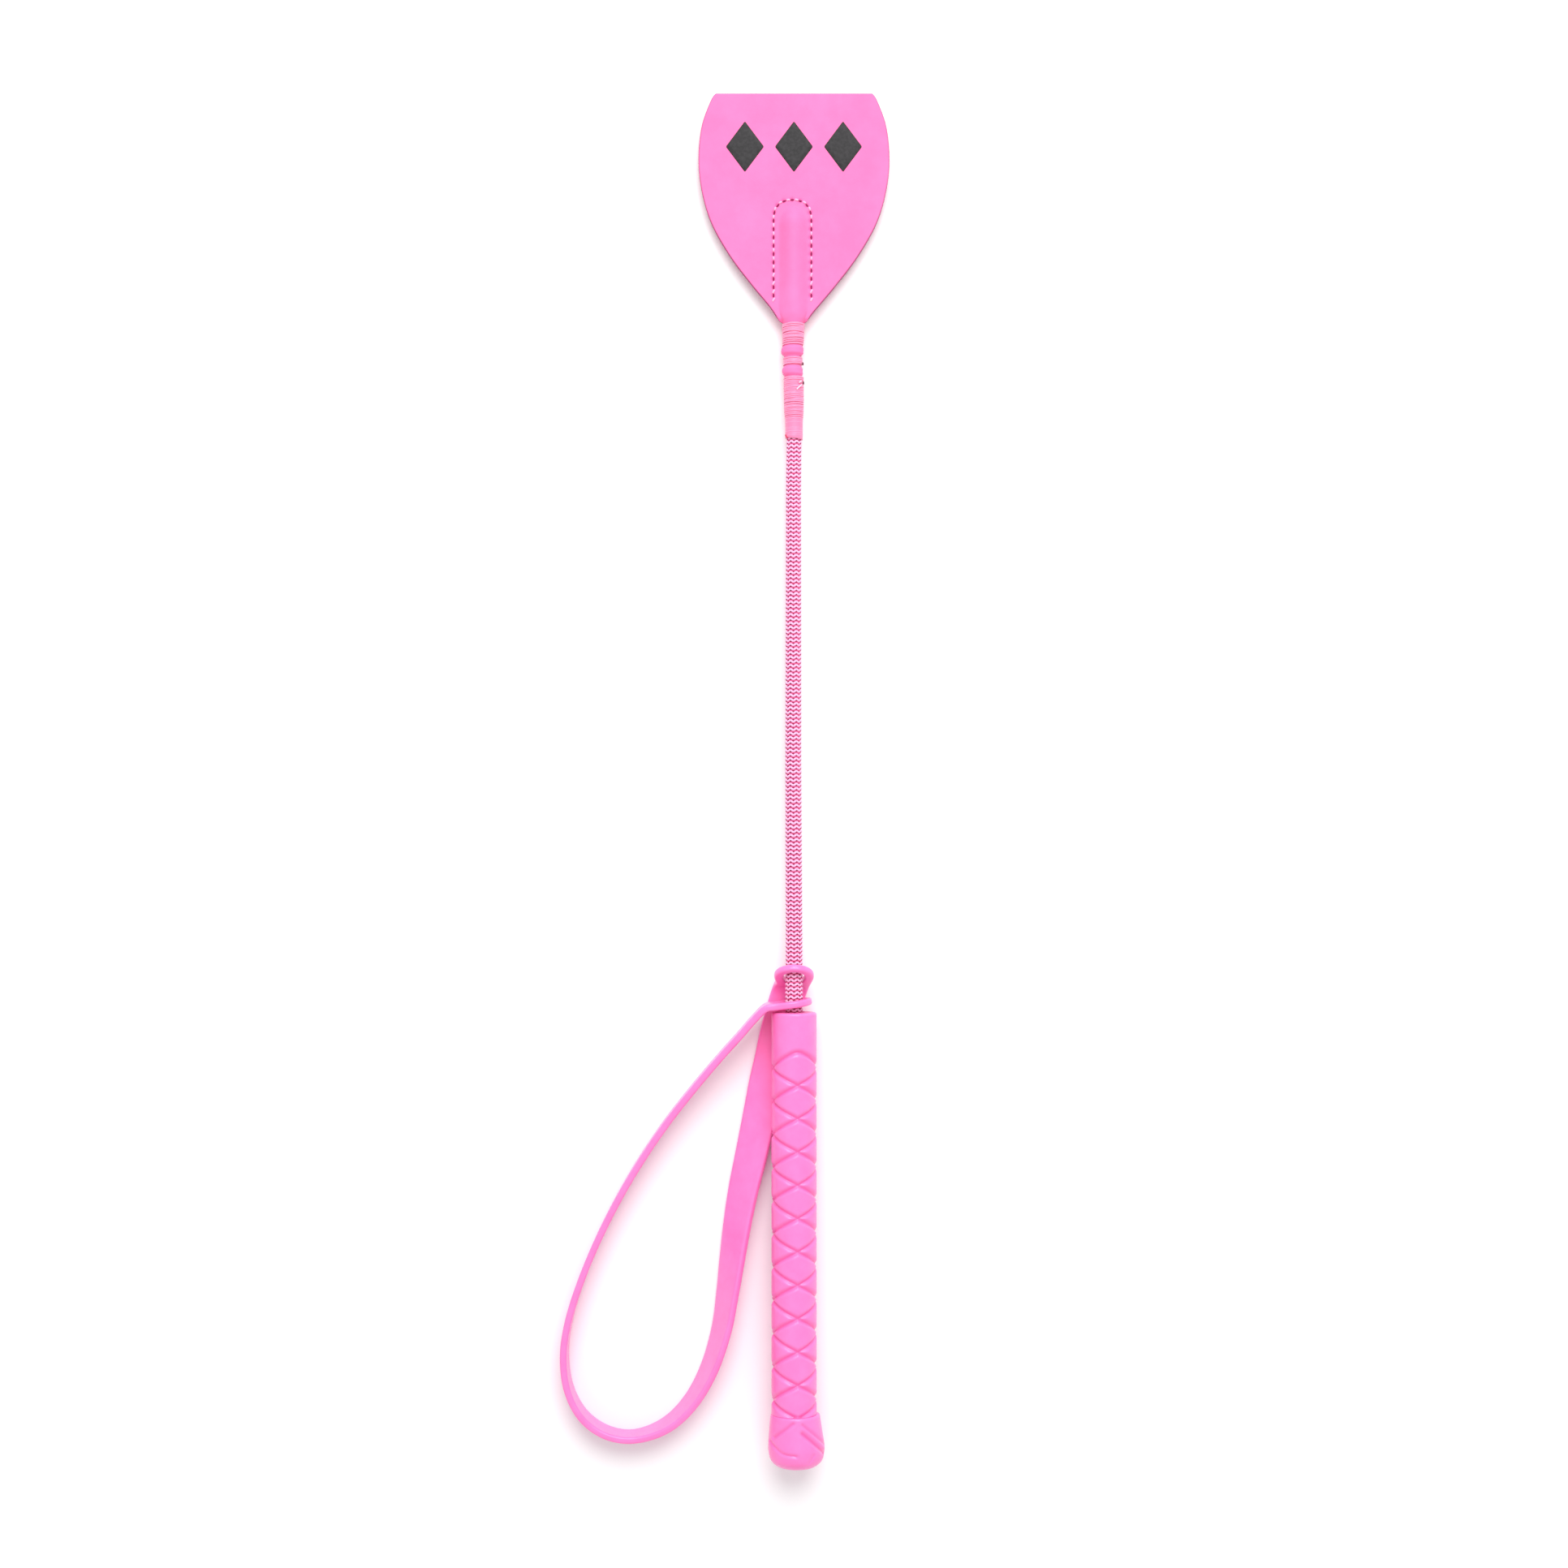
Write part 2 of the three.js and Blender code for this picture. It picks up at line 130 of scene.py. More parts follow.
def catmull(points, count):
    """count samples of a centripetal Catmull-Rom curve through points."""
    points = np.asarray(points, float)
    legs = len(points) - 1
    stops = np.concatenate([[2 * points[0] - points[1]], points, [2 * points[-1] - points[-2]]])
    gaps = np.maximum(np.linalg.norm(np.diff(stops, axis=0), axis=1) ** 0.5, 1e-6)
    samples = []
    for where in np.linspace(0, 1, count) * legs:
        index = min(int(where), legs - 1)
        weight = where - index
        p0, p1, p2, p3 = stops[index:index + 4]
        before, here, after = gaps[index:index + 3]
        start = here * ((p1 - p0) / before - (p2 - p0) / (before + here) + (p2 - p1) / here)
        stop = here * ((p2 - p1) / here - (p3 - p1) / (here + after) + (p3 - p2) / after)
        cubed = 2 * p1 - 2 * p2 + start + stop
        squared = -3 * p1 + 3 * p2 - 2 * start - stop
        samples.append(((cubed * weight + squared) * weight + start) * weight + p1)
    return np.array(samples)


# ---- mesh helpers ----

def grid_faces(rows, columns, wrap_columns=False, wrap_rows=False):
    """Quads over a grid of rows by columns, numbered row by row."""
    r = np.arange(rows if wrap_rows else rows - 1)
    c = np.arange(columns if wrap_columns else columns - 1)
    r, c = np.meshgrid(r, c, indexing="ij")
    r2, c2 = (r + 1) % rows, (c + 1) % columns
    corners = [r * columns + c, r * columns + c2, r2 * columns + c2, r2 * columns + c]
    return np.stack([corner.ravel() for corner in corners], axis=1)


class Grids:
    """Blocks of points that grow into one mesh."""

    def __init__(self):
        self.blocks, self.faces, self.count = [], [], 0

    def add(self, block, wrap_columns=True, capped=False):
        """Adds rows by columns of points; capped closes the end rows."""
        rows, columns = block.shape[:2]
        self.faces += (grid_faces(rows, columns, wrap_columns) + self.count).tolist()
        if capped:
            for row in (0, rows - 1):
                first = self.count + row * columns
                self.faces.append(list(range(first, first + columns)))
        self.blocks.append(block.reshape(-1, 3))
        self.count += rows * columns

    def points(self):
        return np.concatenate(self.blocks)


def make_object(name, points, faces, attributes=None, weld=0.0):
    """A smooth-shaded mesh with outward normals, from metres and index lists."""
    mesh = bpy.data.meshes.new(name)
    mesh.from_pydata(np.asarray(points).tolist(), [], [list(map(int, face)) for face in faces])
    for key, values in (attributes or {}).items():
        layer = mesh.attributes.new(key, "FLOAT", "POINT")
        layer.data.foreach_set("value", np.asarray(values, np.float32).ravel())
    edit = bmesh.new()
    edit.from_mesh(mesh)
    if weld:
        bmesh.ops.remove_doubles(edit, verts=edit.verts, dist=weld)
    bmesh.ops.recalc_face_normals(edit, faces=edit.faces)
    edit.to_mesh(mesh)
    edit.free()
    mesh.shade_smooth()
    thing = bpy.data.objects.new(name, mesh)
    bpy.context.scene.collection.objects.link(thing)
    return thing


def finish_piece(thing, material, slot, body, *nodes):
    """Gives a piece its material and body and hides the nodes it stands for; slot is not used."""
    thing.data.materials.append(material)
    if body:
        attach(thing, body)
    if nodes:
        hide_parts(*nodes)


def sharpen(thing, degrees=35):
    """Keeps edges steeper than an angle crisp."""
    thing.data.set_sharp_from_angle(angle=math.radians(degrees))


def full_turn(columns):
    """Even angles all round, as one row."""
    return np.linspace(0, 2 * math.pi, columns, endpoint=False)[None, :]


def round_point(radius, turn, s):
    """A point round the shaft: turn 0 faces out of the tongue's front."""
    return np.stack(np.broadcast_arrays(radius * np.sin(turn), s, radius * np.cos(turn)), axis=-1)


def turned(profile, columns):
    """Points and faces of a closed (radius, s) profile turned round the shaft."""
    profile = np.array(profile)
    points = round_point(profile[:, :1], full_turn(columns), profile[:, 1:2])
    return points.reshape(-1, 3), grid_faces(len(profile), columns, wrap_columns=True, wrap_rows=True)


def thread_path(centre, outward):
    """A thread's middle line with its sideways and outward directions."""
    tangent = unit(np.gradient(centre, axis=0))
    sideways = unit(np.cross(tangent, outward))
    return centre, sideways, np.cross(sideways, tangent)


def tubes(paths, half_width, half_height, sides, flow_step):
    """Closed tubes along thread paths, as one mesh with its thread coordinates."""
    grids = Grids()
    across, along = [], []
    cosine, sine = np.cos(full_turn(sides)), np.sin(full_turn(sides))
    for centre, sideways, outward in paths:
        ring = centre[:, None] + half_width * cosine[..., None] * sideways[:, None]
        grids.add(ring + half_height * sine[..., None] * outward[:, None], capped=True)
        across.append(np.tile(cosine[0], len(centre)))
        along.append(np.repeat(np.arange(len(centre)) * flow_step, sides))
    flow = {"across": np.concatenate(across), "along": np.concatenate(along)}
    return grids.points(), grids.faces, flow


def around_core(points, faces, flow, core, core_faces):
    """A mesh of tubes joined with the turned core they lie on."""
    faces = faces + (core_faces + len(points)).tolist()
    flow = {key: np.concatenate([values, np.zeros(len(core))]) for key, values in flow.items()}
    return np.concatenate([points, core]), faces, flow


# ---- materials ----

def srgb(red, green, blue):
    """Screen colour values from 0 to 255 to linear light."""
    def channel(value):
        value /= 255
        return value / 12.92 if value <= 0.04045 else ((value + 0.055) / 1.055) ** 2.4
    return (channel(red), channel(green), channel(blue), 1.0)


class Shader:
    """Shorthand for building one material's node tree."""

    def __init__(self, name, roughness, **sockets):
        self.material = bpy.data.materials.new(name)
        self.material.use_nodes = True
        self.tree = self.material.node_tree
        self.surface = self.tree.nodes["Principled BSDF"]
        self.surface.inputs["Roughness"].default_value = roughness
        for socket, value in sockets.items():
            self.surface.inputs[socket.replace("_", " ")].default_value = value

    def node(self, kind, inputs=None, **settings):
        """A new node with some of its inputs and settings given."""
        made = self.tree.nodes.new(kind)
        for key, value in (inputs or {}).items():
            made.inputs[key].default_value = value
        for key, value in settings.items():
            setattr(made, key, value)
        return made

    def join(self, source, target):
        self.tree.links.new(source, target)

    def place_in_object(self, scale=(1, 1, 1)):
        """Object coordinates, in metres of the CAD frame, scaled per axis."""
        coordinates = self.node("ShaderNodeTexCoord")
        mapping = self.node("ShaderNodeMapping", {"Scale": scale})
        self.join(coordinates.outputs["Object"], mapping.inputs["Vector"])
        return mapping.outputs["Vector"]

    def noise(self, scale, detail=3.0, roughness=0.55, vector=None):
        inputs = {"Scale": scale, "Detail": detail, "Roughness": roughness}
        texture = self.node("ShaderNodeTexNoise", inputs)
        self.join(vector or self.place_in_object(), texture.inputs["Vector"])
        return texture.outputs["Fac"]

    def attribute(self, name):
        return self.node("ShaderNodeAttribute", attribute_name=name).outputs["Fac"]

    def ramp(self, value, stops):
        """A colour ramp from (position, colour) stops."""
        ramp = self.node("ShaderNodeValToRGB")
        elements = ramp.color_ramp.elements
        while len(elements) < len(stops):
            elements.new(0.5)
        for element, (position, colour) in zip(elements, stops):
            element.position = position
            element.color = colour
        self.join(value, ramp.inputs["Fac"])
        return ramp.outputs["Color"]

    def feed(self, socket, value):
        """Joins an output to a socket, or sets a constant."""
        if isinstance(value, bpy.types.NodeSocket):
            self.join(value, socket)
        else:
            socket.default_value = value

    def mix(self, amount, first, second):
        """Mixes two colours by an output or a constant amount."""
        mixer = self.node("ShaderNodeMix", data_type="RGBA")
        for index, value in ((0, amount), (6, first), (7, second)):
            self.feed(mixer.inputs[index], value)
        return mixer.outputs[2]

    def math(self, operation, first, second=0.0):
        calculator = self.node("ShaderNodeMath", operation=operation)
        self.feed(calculator.inputs[0], first)
        self.feed(calculator.inputs[1], second)
        return calculator.outputs[0]

    def colour(self, output):
        self.join(output, self.surface.inputs["Base Color"])

    def roughness(self, output):
        self.join(output, self.surface.inputs["Roughness"])

    def bump(self, height, distance_mm, strength=1.0):
        bump = self.node("ShaderNodeBump", {"Distance": distance_mm * MM, "Strength": strength})
        self.join(height, bump.inputs["Height"])
        if self.surface.inputs["Normal"].is_linked:
            self.join(self.surface.inputs["Normal"].links[0].from_socket, bump.inputs["Normal"])
        self.join(bump.outputs["Normal"], self.surface.inputs["Normal"])


PINK = srgb(251, 116, 189)
PINK_PALE = srgb(253, 124, 196)
# colour of the painted shade in grooves and stitch dips
PINK_SHADE = srgb(244, 60, 146)
LEATHER_PINK = srgb(250, 113, 172)
LEATHER_PALE = srgb(252, 121, 180)
# colour of the painted shade on the leather's cut edges
LEATHER_EDGE_SHADE = srgb(168, 66, 118)


def rubber_material(name, roughness, shade_colour=PINK_SHADE, gloss=0.0):
    """Moulded rubber: even pink, faintly mottled, with painted shade where it is cut in."""
    shader = Shader(name, roughness, Specular_IOR_Level=0.5, Coat_Weight=gloss, Coat_Roughness=0.15)
    base = shader.ramp(shader.noise(220, 4), [(0.3, PINK), (0.7, PINK_PALE)])
    # painted shade: mixes towards the shade colour where the surface is cut in
    shader.colour(shader.mix(shader.attribute("recess_shade"), base, shade_colour))
    sheen = shader.noise(900, 2)
    shader.roughness(shader.math("ADD", shader.math("MULTIPLY", sheen, 0.12), roughness - 0.06))
    shader.bump(shader.noise(2600, 3), 0.012)
    return shader.material


def leather_material(name):
    """Coated leather: satin pink with a fine pebble, painted shade along its edges and where the stitching pulls
    it down.
    """
    shader = Shader(name, 0.6, Specular_IOR_Level=0.2)
    base = shader.ramp(shader.noise(90, 5, 0.6), [(0.35, LEATHER_PINK), (0.68, LEATHER_PALE)])
    # painted shade where the stitches pull the leather down
    stitch_shaded = shader.mix(shader.attribute("recess_shade"), base, PINK_SHADE)
    # painted shade along the cut edges
    shader.colour(shader.mix(shader.attribute("edge"), stitch_shaded, LEATHER_EDGE_SHADE))
    pebble = shader.node("ShaderNodeTexVoronoi", {"Scale": 1700}, feature="DISTANCE_TO_EDGE")
    shader.join(shader.place_in_object(), pebble.inputs["Vector"])
    shader.bump(shader.math("MINIMUM", pebble.outputs["Distance"], 0.25), 0.05, 0.6)
    shader.bump(shader.noise(500, 4), 0.04, 0.5)
    worn = shader.math("MULTIPLY", shader.noise(300, 4), 0.16)
    shader.roughness(shader.math("ADD", worn, 0.52))
    return shader.material


def thread_material(name, roughness, shade_colour, mid, pale, strands=2):
    """Yarn with filaments along it: painted shade where it dips, a painted highlight on each ply's crest."""
    shader = Shader(name, roughness, Specular_IOR_Level=0.5, Sheen_Weight=0.25, Sheen_Roughness=0.4)
    pale = srgb(*pale)
    # painted shade: darker where the depth attribute is low, where the yarn dips or sinks
    base = shader.ramp(shader.attribute("depth"), [(0.0, srgb(*shade_colour)), (0.45, srgb(*mid)), (1.0, pale)])
    across = shader.math("MULTIPLY", shader.attribute("across"), strands)
    along = shader.math("MULTIPLY", shader.attribute("along"), 2.2)
    twist = shader.math("MULTIPLY", shader.math("ADD", across, along), math.pi)
    ply = shader.math("SINE", twist)
    filaments = shader.math("ADD", shader.math("MULTIPLY", ply, 0.5), 0.5)
    # painted highlight: paler on each ply's crest
    shader.colour(shader.mix(shader.math("MULTIPLY", filaments, 0.22), base, pale))
    shader.bump(filaments, 0.05, 0.8)
    shader.bump(shader.noise(4000, 2), 0.02, 0.5)
    return shader.material


def ink_material(name):
    """Charcoal printing ink with the leather's grain showing through."""
    shader = Shader(name, 0.55, Specular_IOR_Level=0.35)
    inks = [(0.35, srgb(16, 13, 16)), (0.7, srgb(40, 37, 40))]
    shader.colour(shader.ramp(shader.noise(900, 4), inks))
    shader.bump(shader.noise(1500, 3), 0.03, 0.6)
    return shader.material


def two_shade_material(name, roughness, specular, noise, shades, stretch=1, bump_mm=0):
    """Two shades in a noise that a stretch under 1 draws out along the shaft."""
    shader = Shader(name, roughness, Specular_IOR_Level=specular)
    pattern = shader.noise(*noise, vector=shader.place_in_object((1, stretch, 1)))
    shader.colour(shader.ramp(pattern, list(zip((0.3, 0.7), shades))))
    if bump_mm:
        shader.bump(pattern, bump_mm, 0.6)
    return shader.material


GRIP_RUBBER = rubber_material("moulded_grip_rubber", 0.36, gloss=0.1)
STRAP_RUBBER = rubber_material("glossy_strap_rubber", 0.32, gloss=0.15)
LEATHER = leather_material("pink_coated_leather")
# each thread's colours run from painted shade where it dips, through a middle shade, to its own pale colour
BRAID_YARN = thread_material(
    "braid_yarn", 0.42, (172, 2, 78), (244, 58, 142), (254, 194, 232), strands=3)
WAXED_THREAD = thread_material("waxed_thread", 0.5, (176, 44, 92), (240, 104, 150), (249, 142, 184))
STITCH_THREAD = thread_material(
    "stitching_thread", 0.5, (200, 60, 130), (248, 130, 186), (254, 170, 212))
# painted highlight: the loose ends are coloured far paler than the binding thread they come from
HIGHLIT_THREAD_END = thread_material(
    "highlit_thread_end", 0.5, (236, 120, 170), (254, 180, 212), (255, 205, 228))
SINGED_THREAD = thread_material("singed_thread_end", 0.4, (40, 6, 16), (70, 14, 30), (96, 26, 44))
RED_THREAD = thread_material("red_thread_corner", 0.45, (120, 6, 36), (176, 20, 60), (206, 40, 84))
# painted shade: a dark colour all over the slots' insides
HOLE_SHADE = rubber_material("stitch_hole_shadow", 0.8, shade_colour=srgb(134, 4, 78))
INK = ink_material("charcoal_print")
GLASS_FIBRE = two_shade_material(
    "glass_fibre_rod", 0.35, 0.5, (3000, 3), (srgb(206, 198, 170), srgb(238, 232, 214)), 0.02, 0.02)
WOOD = two_shade_material(
    "turned_wood", 0.6, 0.5, (700, 5), (srgb(176, 132, 84), srgb(222, 186, 138)), 0.06, 0.05)
FLOOR = two_shade_material(
    "studio_floor", 0.9, 0.1, (6, 2), ((0.91, 0.91, 0.91, 1), (0.94, 0.94, 0.94, 1)))


# ---- grip ----
PATTERN_TURN = math.radians(10)  # the mould's front line sits a little to the right
PATTERN_TOP = 137.6  # apex of the first groove
PATTERN_LEAD = 21.84  # one turn of a groove; two grooves run each way
GROOVE_HALF = 1.3
GROOVE_DEPTH = 0.95
APEX_SOFT = 0.03  # rounds off the points of the pattern's top line
TOP_STEEP = 0.9  # distance to the sloping top line over that along the shaft
PARTING_HEIGHT = 0.07
PARTING_HALF = 0.22
FAR = 99.0
ROUND = 180  # columns of points round the grip and the bulb


def groove(distance, half=GROOVE_HALF):
    """A softly rounded V groove, from 0 outside to 1 at its middle."""
    share = np.clip(1 - np.asarray(distance) / half, 0, 1)
    return share * (0.55 + 0.45 * smoothstep(0, 1, share))


def grip_groove(turn, s):
    """How deep the diamond pattern cuts, from 0 to 1."""
    around = (turn - PATTERN_TURN) / (2 * math.pi)
    climb = (s - PATTERN_TOP) / PATTERN_LEAD
    spacing = 1 / math.hypot(1 / (math.pi * GRIP_R), 2 / PATTERN_LEAD)
    nearest = np.full(np.broadcast(turn, s).shape, FAR)
    for hand in (-1, 1):
        phase = 2 * (around + hand * climb)
        nearest = np.minimum(nearest, np.abs(phase - np.round(phase)) * spacing)
    from_front = np.abs(2 * around - np.round(2 * around)) * 2
    low, high = math.sqrt(APEX_SOFT), math.sqrt(1 + APEX_SOFT)
    rounded = (np.sqrt(from_front ** 2 + APEX_SOFT) - low) / (high - low)
    top = PATTERN_TOP - rounded * PATTERN_LEAD / 4
    to_top = np.abs(s - top) * TOP_STEEP
    below = s < PATTERN_TOP - PATTERN_LEAD / 4
    nearest = np.where(below, np.minimum(nearest, to_top), to_top)
    return groove(nearest)


def from_mould_line(turn):
    """Signed angle to the nearer of the mould's front and back lines."""
    return ((turn - PATTERN_TURN + math.pi / 2) % math.pi) - math.pi / 2


def parting_line(turn):
    """The thin raised lines where the halves of the mould met."""
    away = np.abs(from_mould_line(turn)) * GRIP_R
    return PARTING_HEIGHT * np.exp(-(away / PARTING_HALF) ** 2)


def grip_profile():
    """(radius, s, how patterned) up the outside, over the rim and down the bore."""
    rim = 0.9
    rows = [(GRIP_R - 0.05, POMMEL_END - 0.1, 0.0), (GRIP_R, GRIP_START, 1.0)]
    rows += [(GRIP_R, s, 1.0) for s in np.arange(GRIP_START + 0.4, GRIP_END - rim, 0.3)]
    for angle in np.linspace(0, math.pi / 2, 7):
        rows.append((GRIP_R - rim + rim * math.cos(angle), GRIP_END - rim + rim * math.sin(angle), 0.0))
    lip = GRIP_END - GRIP_LIP
    inside = [(5.4, GRIP_END), (SHAFT_BORE + 0.3, GRIP_END), (SHAFT_BORE, GRIP_END - 0.3)]
    inside += [(SHAFT_BORE, lip), (GRIP_INNER, lip), (GRIP_INNER, GRIP_START)]
    return np.array(rows + [(radius, s, 0.0) for radius, s in inside])


def build_grip():
    rows = grip_profile()
    turn = full_turn(ROUND)
    radius, s, patterned = rows[:, :1], rows[:, 1:2], rows[:, 2:]
    cut = grip_groove(turn, s) * patterned
    radius = radius - GROOVE_DEPTH * cut + parting_line(turn) * patterned
    points = round_point(radius, turn, s)
    faces = grid_faces(len(rows), ROUND, wrap_columns=True, wrap_rows=True)
    # painted shade in the grooves, deepest along their middles
    thing = make_object("grip", place(points), faces, {"recess_shade": cut ** 2 * 0.55})
    finish_piece(thing, GRIP_RUBBER, "grip_rubber", "crop", "grip_sleeve")


# ---- pommel ----
# Moulded wrap lines on the front half: half width, depth, then places as (degrees round, s).
WRAP_LINES = [
    (1.0, 0.60, ((-15, 16.2), (-23, 15.3), (-43, 13.2), (-66, 11.1))),
    (1.0, 0.50, ((-80, 9.6), (-58, 8.0), (-34, 6.2), (-11, 5.8))),
    (1.0, 0.55, ((7, 15.7), (29, 12.9), (56, 9.8), (80, 7.8))),
    (1.4, 0.80, ((5, 12.9), (26, 10.2), (51, 7.1), (76, 5.0))),
    (0.8, 0.30, ((28, 5.8), (18, 3.3))),
]


# (radius, s) stops of the bulb's outline, from the butt's flat to the ledge round the grip.
BULB = [(3.0, 0.0), (6.4, 0.9), (8.5, 2.8), (9.35, 6.4), (8.9, 11.5), (8.25, POMMEL_END - 0.8)]


def pommel_lean(s):
    """How far the bulb leans to the right of the shaft."""
    return np.interp(s, [0, 6, 16], [0.8, 0.8, 0.4])


def line_distance(turn, s, radius, line):
    """Distance from places on the bulb to one wrap line."""
    best = np.full(np.broadcast(turn, s).shape, FAR)
    dense = catmull([(math.radians(angle), height) for angle, height in line], 14)
    for (a0, s0), (a1, s1) in zip(dense[:-1], dense[1:]):
        leg_x, leg_s = (a1 - a0) * radius, s1 - s0
        from_x, from_s = (turn - a0) * radius, s - s0
        share = np.clip((from_x * leg_x + from_s * leg_s) / (leg_x ** 2 + leg_s ** 2), 0, 1)
        best = np.minimum(best, np.hypot(from_x - share * leg_x, from_s - share * leg_s))
    return best


def pommel_groove(turn, s, radius):
    """How deep the wrap lines cut, the same on both halves."""
    cut = np.zeros(np.broadcast(turn, s).shape)
    for half, depth, line in WRAP_LINES:
        away = line_distance(from_mould_line(turn), s, radius, line)
        cut = np.maximum(cut, depth * groove(away, half))
    return cut


def pommel_profile(socket):
    """(radius, s, how patterned, how leaning) from the butt to the socket."""
    rows = [(radius, 0.0, 0, 1) for radius in (0.9, 1.9, 2.7)]
    rows += [(radius, s, 1, 1) for radius, s in catmull(BULB, 90)]
    rows += [(8.1, POMMEL_END - 0.25, 0, 1), (7.85, POMMEL_END, 0, 1), (6.4, POMMEL_END, 0, 0)]
    rows += [(GRIP_INNER, POMMEL_END, 0, 0), (GRIP_INNER, socket, 0, 0), (1.5, socket, 0, 0)]
    return np.array(rows)


def build_pommel():
    socket = node_reach("handle_core")[0] - 0.3
    rows = pommel_profile(socket)
    turn = full_turn(ROUND)
    radius, s, patterned, leaning = (rows[:, k:k + 1] for k in range(4))
    fade = patterned * smoothstep(1.2, 3.2, s) * smoothstep(POMMEL_END, POMMEL_END - 1.6, s)
    cut = pommel_groove(turn, s, radius) * fade
    radius = radius - cut + parting_line(turn) * fade
    points = round_point(radius, turn, s)
    points[..., 0] += pommel_lean(s) * leaning
    points = points.reshape(-1, 3)
    poles = np.array([[float(pommel_lean(0)), 0, 0], [0, socket, 0]])
    count = len(points)
    faces = grid_faces(len(rows), ROUND, wrap_columns=True).tolist()
    last = (len(rows) - 1) * ROUND
    for c in range(ROUND):
        after = (c + 1) % ROUND
        faces.append([count, after, c])
        faces.append([count + 1, last + c, last + after])
    # painted shade in the wrap lines' grooves
    recess_shade = np.concatenate([(cut ** 2).ravel(), [0, 0]])
    thing = make_object("pommel", place(np.concatenate([points, poles])), faces, {"recess_shade": recess_shade})
    sharpen(thing, 50)
    finish_piece(thing, GRIP_RUBBER, "grip_rubber", "crop", "pommel_cap")


# ---- braided cover ----
CARRIERS = 8  # strands that wind each way
PICK = 1.41  # distance along the shaft between neighbouring strands of one hand
YARN_WAVE = 0.2  # how far a yarn rises over its rivals and dips under them
YARN_HALF = 0.35
YARN_HEIGHT = 0.22
YARN_SIDES = 6
YARN_STEPS = 45  # points along a yarn for each turn it takes


def braid_middle(s):
    """Radius at which the yarns cross, a little slimmer towards the tongue."""
    return np.interp(s, [GRIP_END, NECK_START], [2.58, 2.22])


def shaft_bow(s):
    """How far the shaft bows sideways along its free length."""
    return np.interp(s, [175, 232, 325, 341], [0.0, -0.25, -0.15, 0.0])


def braid_strand(hand, number, start, end):
    """One yarn's path, over and under those of the other hand."""
    lead = CARRIERS * PICK
    steps = int((end - start) / lead * YARN_STEPS)
    s = np.linspace(start, end, steps)
    column = math.pi / (2 * CARRIERS)
    turn = hand * 2 * math.pi * s / lead + 2 * math.pi * number / CARRIERS
    lift = hand * np.cos(CARRIERS * (turn - column))
    radius = braid_middle(s) + YARN_WAVE * np.sign(lift) * np.abs(lift) ** 0.7
    centre = round_point(radius, turn, s)
    centre[:, 0] += shaft_bow(s)
    return thread_path(centre, round_point(1, turn, 0))


def build_braid():
    """The yarns, and the sleeve between them that carries on under both ends."""
    start, end = GRIP_END - 5.5, NECK_START + 3
    paths = [braid_strand(hand, number, start, end) for number in range(CARRIERS) for hand in (-1, 1)]
    points, faces, flow = tubes(paths, YARN_HALF, YARN_HEIGHT, YARN_SIDES, 0.22)
    reach = np.hypot(points[:, 0] - shaft_bow(points[:, 1]), points[:, 2])
    # painted shade: darker where a yarn dips under the yarns of the other hand
    flow["depth"] = smoothstep(-0.2, 0.3, reach - braid_middle(points[:, 1]))
    sleeve = turned([
        (2.0, BRAID_START), (braid_middle(start) - 0.3, start), (braid_middle(end) - 0.2, end),
        (BRAID_R - 0.05, end + 1), (BRAID_R - 0.05, BRAID_END), (BRAID_BORE, BRAID_END),
        (BRAID_BORE, BRAID_START),
    ], 40)
    points, faces, flow = around_core(points, faces, flow, *sleeve)
    thing = make_object("braided_cover", place(points), faces, flow)
    finish_piece(thing, BRAID_YARN, "braid", "crop", "braid_sleeve")


# ---- leather tongue ----
SIDE = catmull([
    (4.2, PLATE_START), (7.4, 384.8), (14.1, 392.9), (21.5, 402.8), (28.0, 414.6), (31.3, 427.0),
    (31.9, 436.5), (30.8, 446.5), (28.6, 453.0), (27.1, TIP - 1), (26.2, TIP),
], 400)
# Radius of the leather round the shaft: pinched under each binding, swollen between them.
NECK = np.array([
    (NECK_START, 2.8), (362.1, 2.8), (363.4, 3.42), (364.6, 3.45), (366.0, 2.8),
    (368.9, 2.8), (370.2, 3.72), (371.4, 3.7), (372.8, 3.1), (379.9, 3.35),
    (383.5, POCKET_R), (POCKET_ROUND, POCKET_R),
])
# How far the bound neck and the pocket sit off the shaft's middle, as (s, x).
NECK_SHIFT = np.array([
    (345.0, 0.0), (361.5, -0.1), (363.9, -0.55), (367.2, -0.32), (370.6, -0.6), (374.0, -0.25),
    (POCKET_ROUND, -0.25), (425.0, -0.25),
]).T


def neck_shift(s):
    return np.interp(s, *NECK_SHIFT)


def ridge_radius(s):
    """Radius of the leather over the shaft, eased between the places in NECK."""
    where = np.interp(s, NECK[:, 0], np.arange(len(NECK)))
    below = np.floor(where)
    return np.interp(below + smoothstep(0, 1, where - below), np.arange(len(NECK)), NECK[:, 1])


def half_width(s):
    """Half the tongue's width, or the neck's radius before it spreads."""
    plate = np.interp(s, SIDE[:, 1], SIDE[:, 0])
    neck = ridge_radius(s)
    spread = smoothstep(PLATE_START - 0.6, PLATE_START + 0.4, s)
    return np.where(s < PLATE_START + 0.4, neck * (1 - spread) + np.maximum(plate, neck) * spread, plate)


def tongue_rows():
    """Places along the tongue, closer at the neck, the stitches and the tip."""
    past_stitches = 424.0
    neck = np.arange(NECK_START, PLATE_START, 0.2)
    plate = np.arange(PLATE_START, past_stitches, 0.4)
    flap = np.arange(past_stitches, TIP - 1.0, 0.75)
    tip = TIP - np.array([0.9, 0.65, 0.45, 0.3, 0.18, 0.09, 0.03, 0.0])
    return np.concatenate([neck, plate, flap, tip])


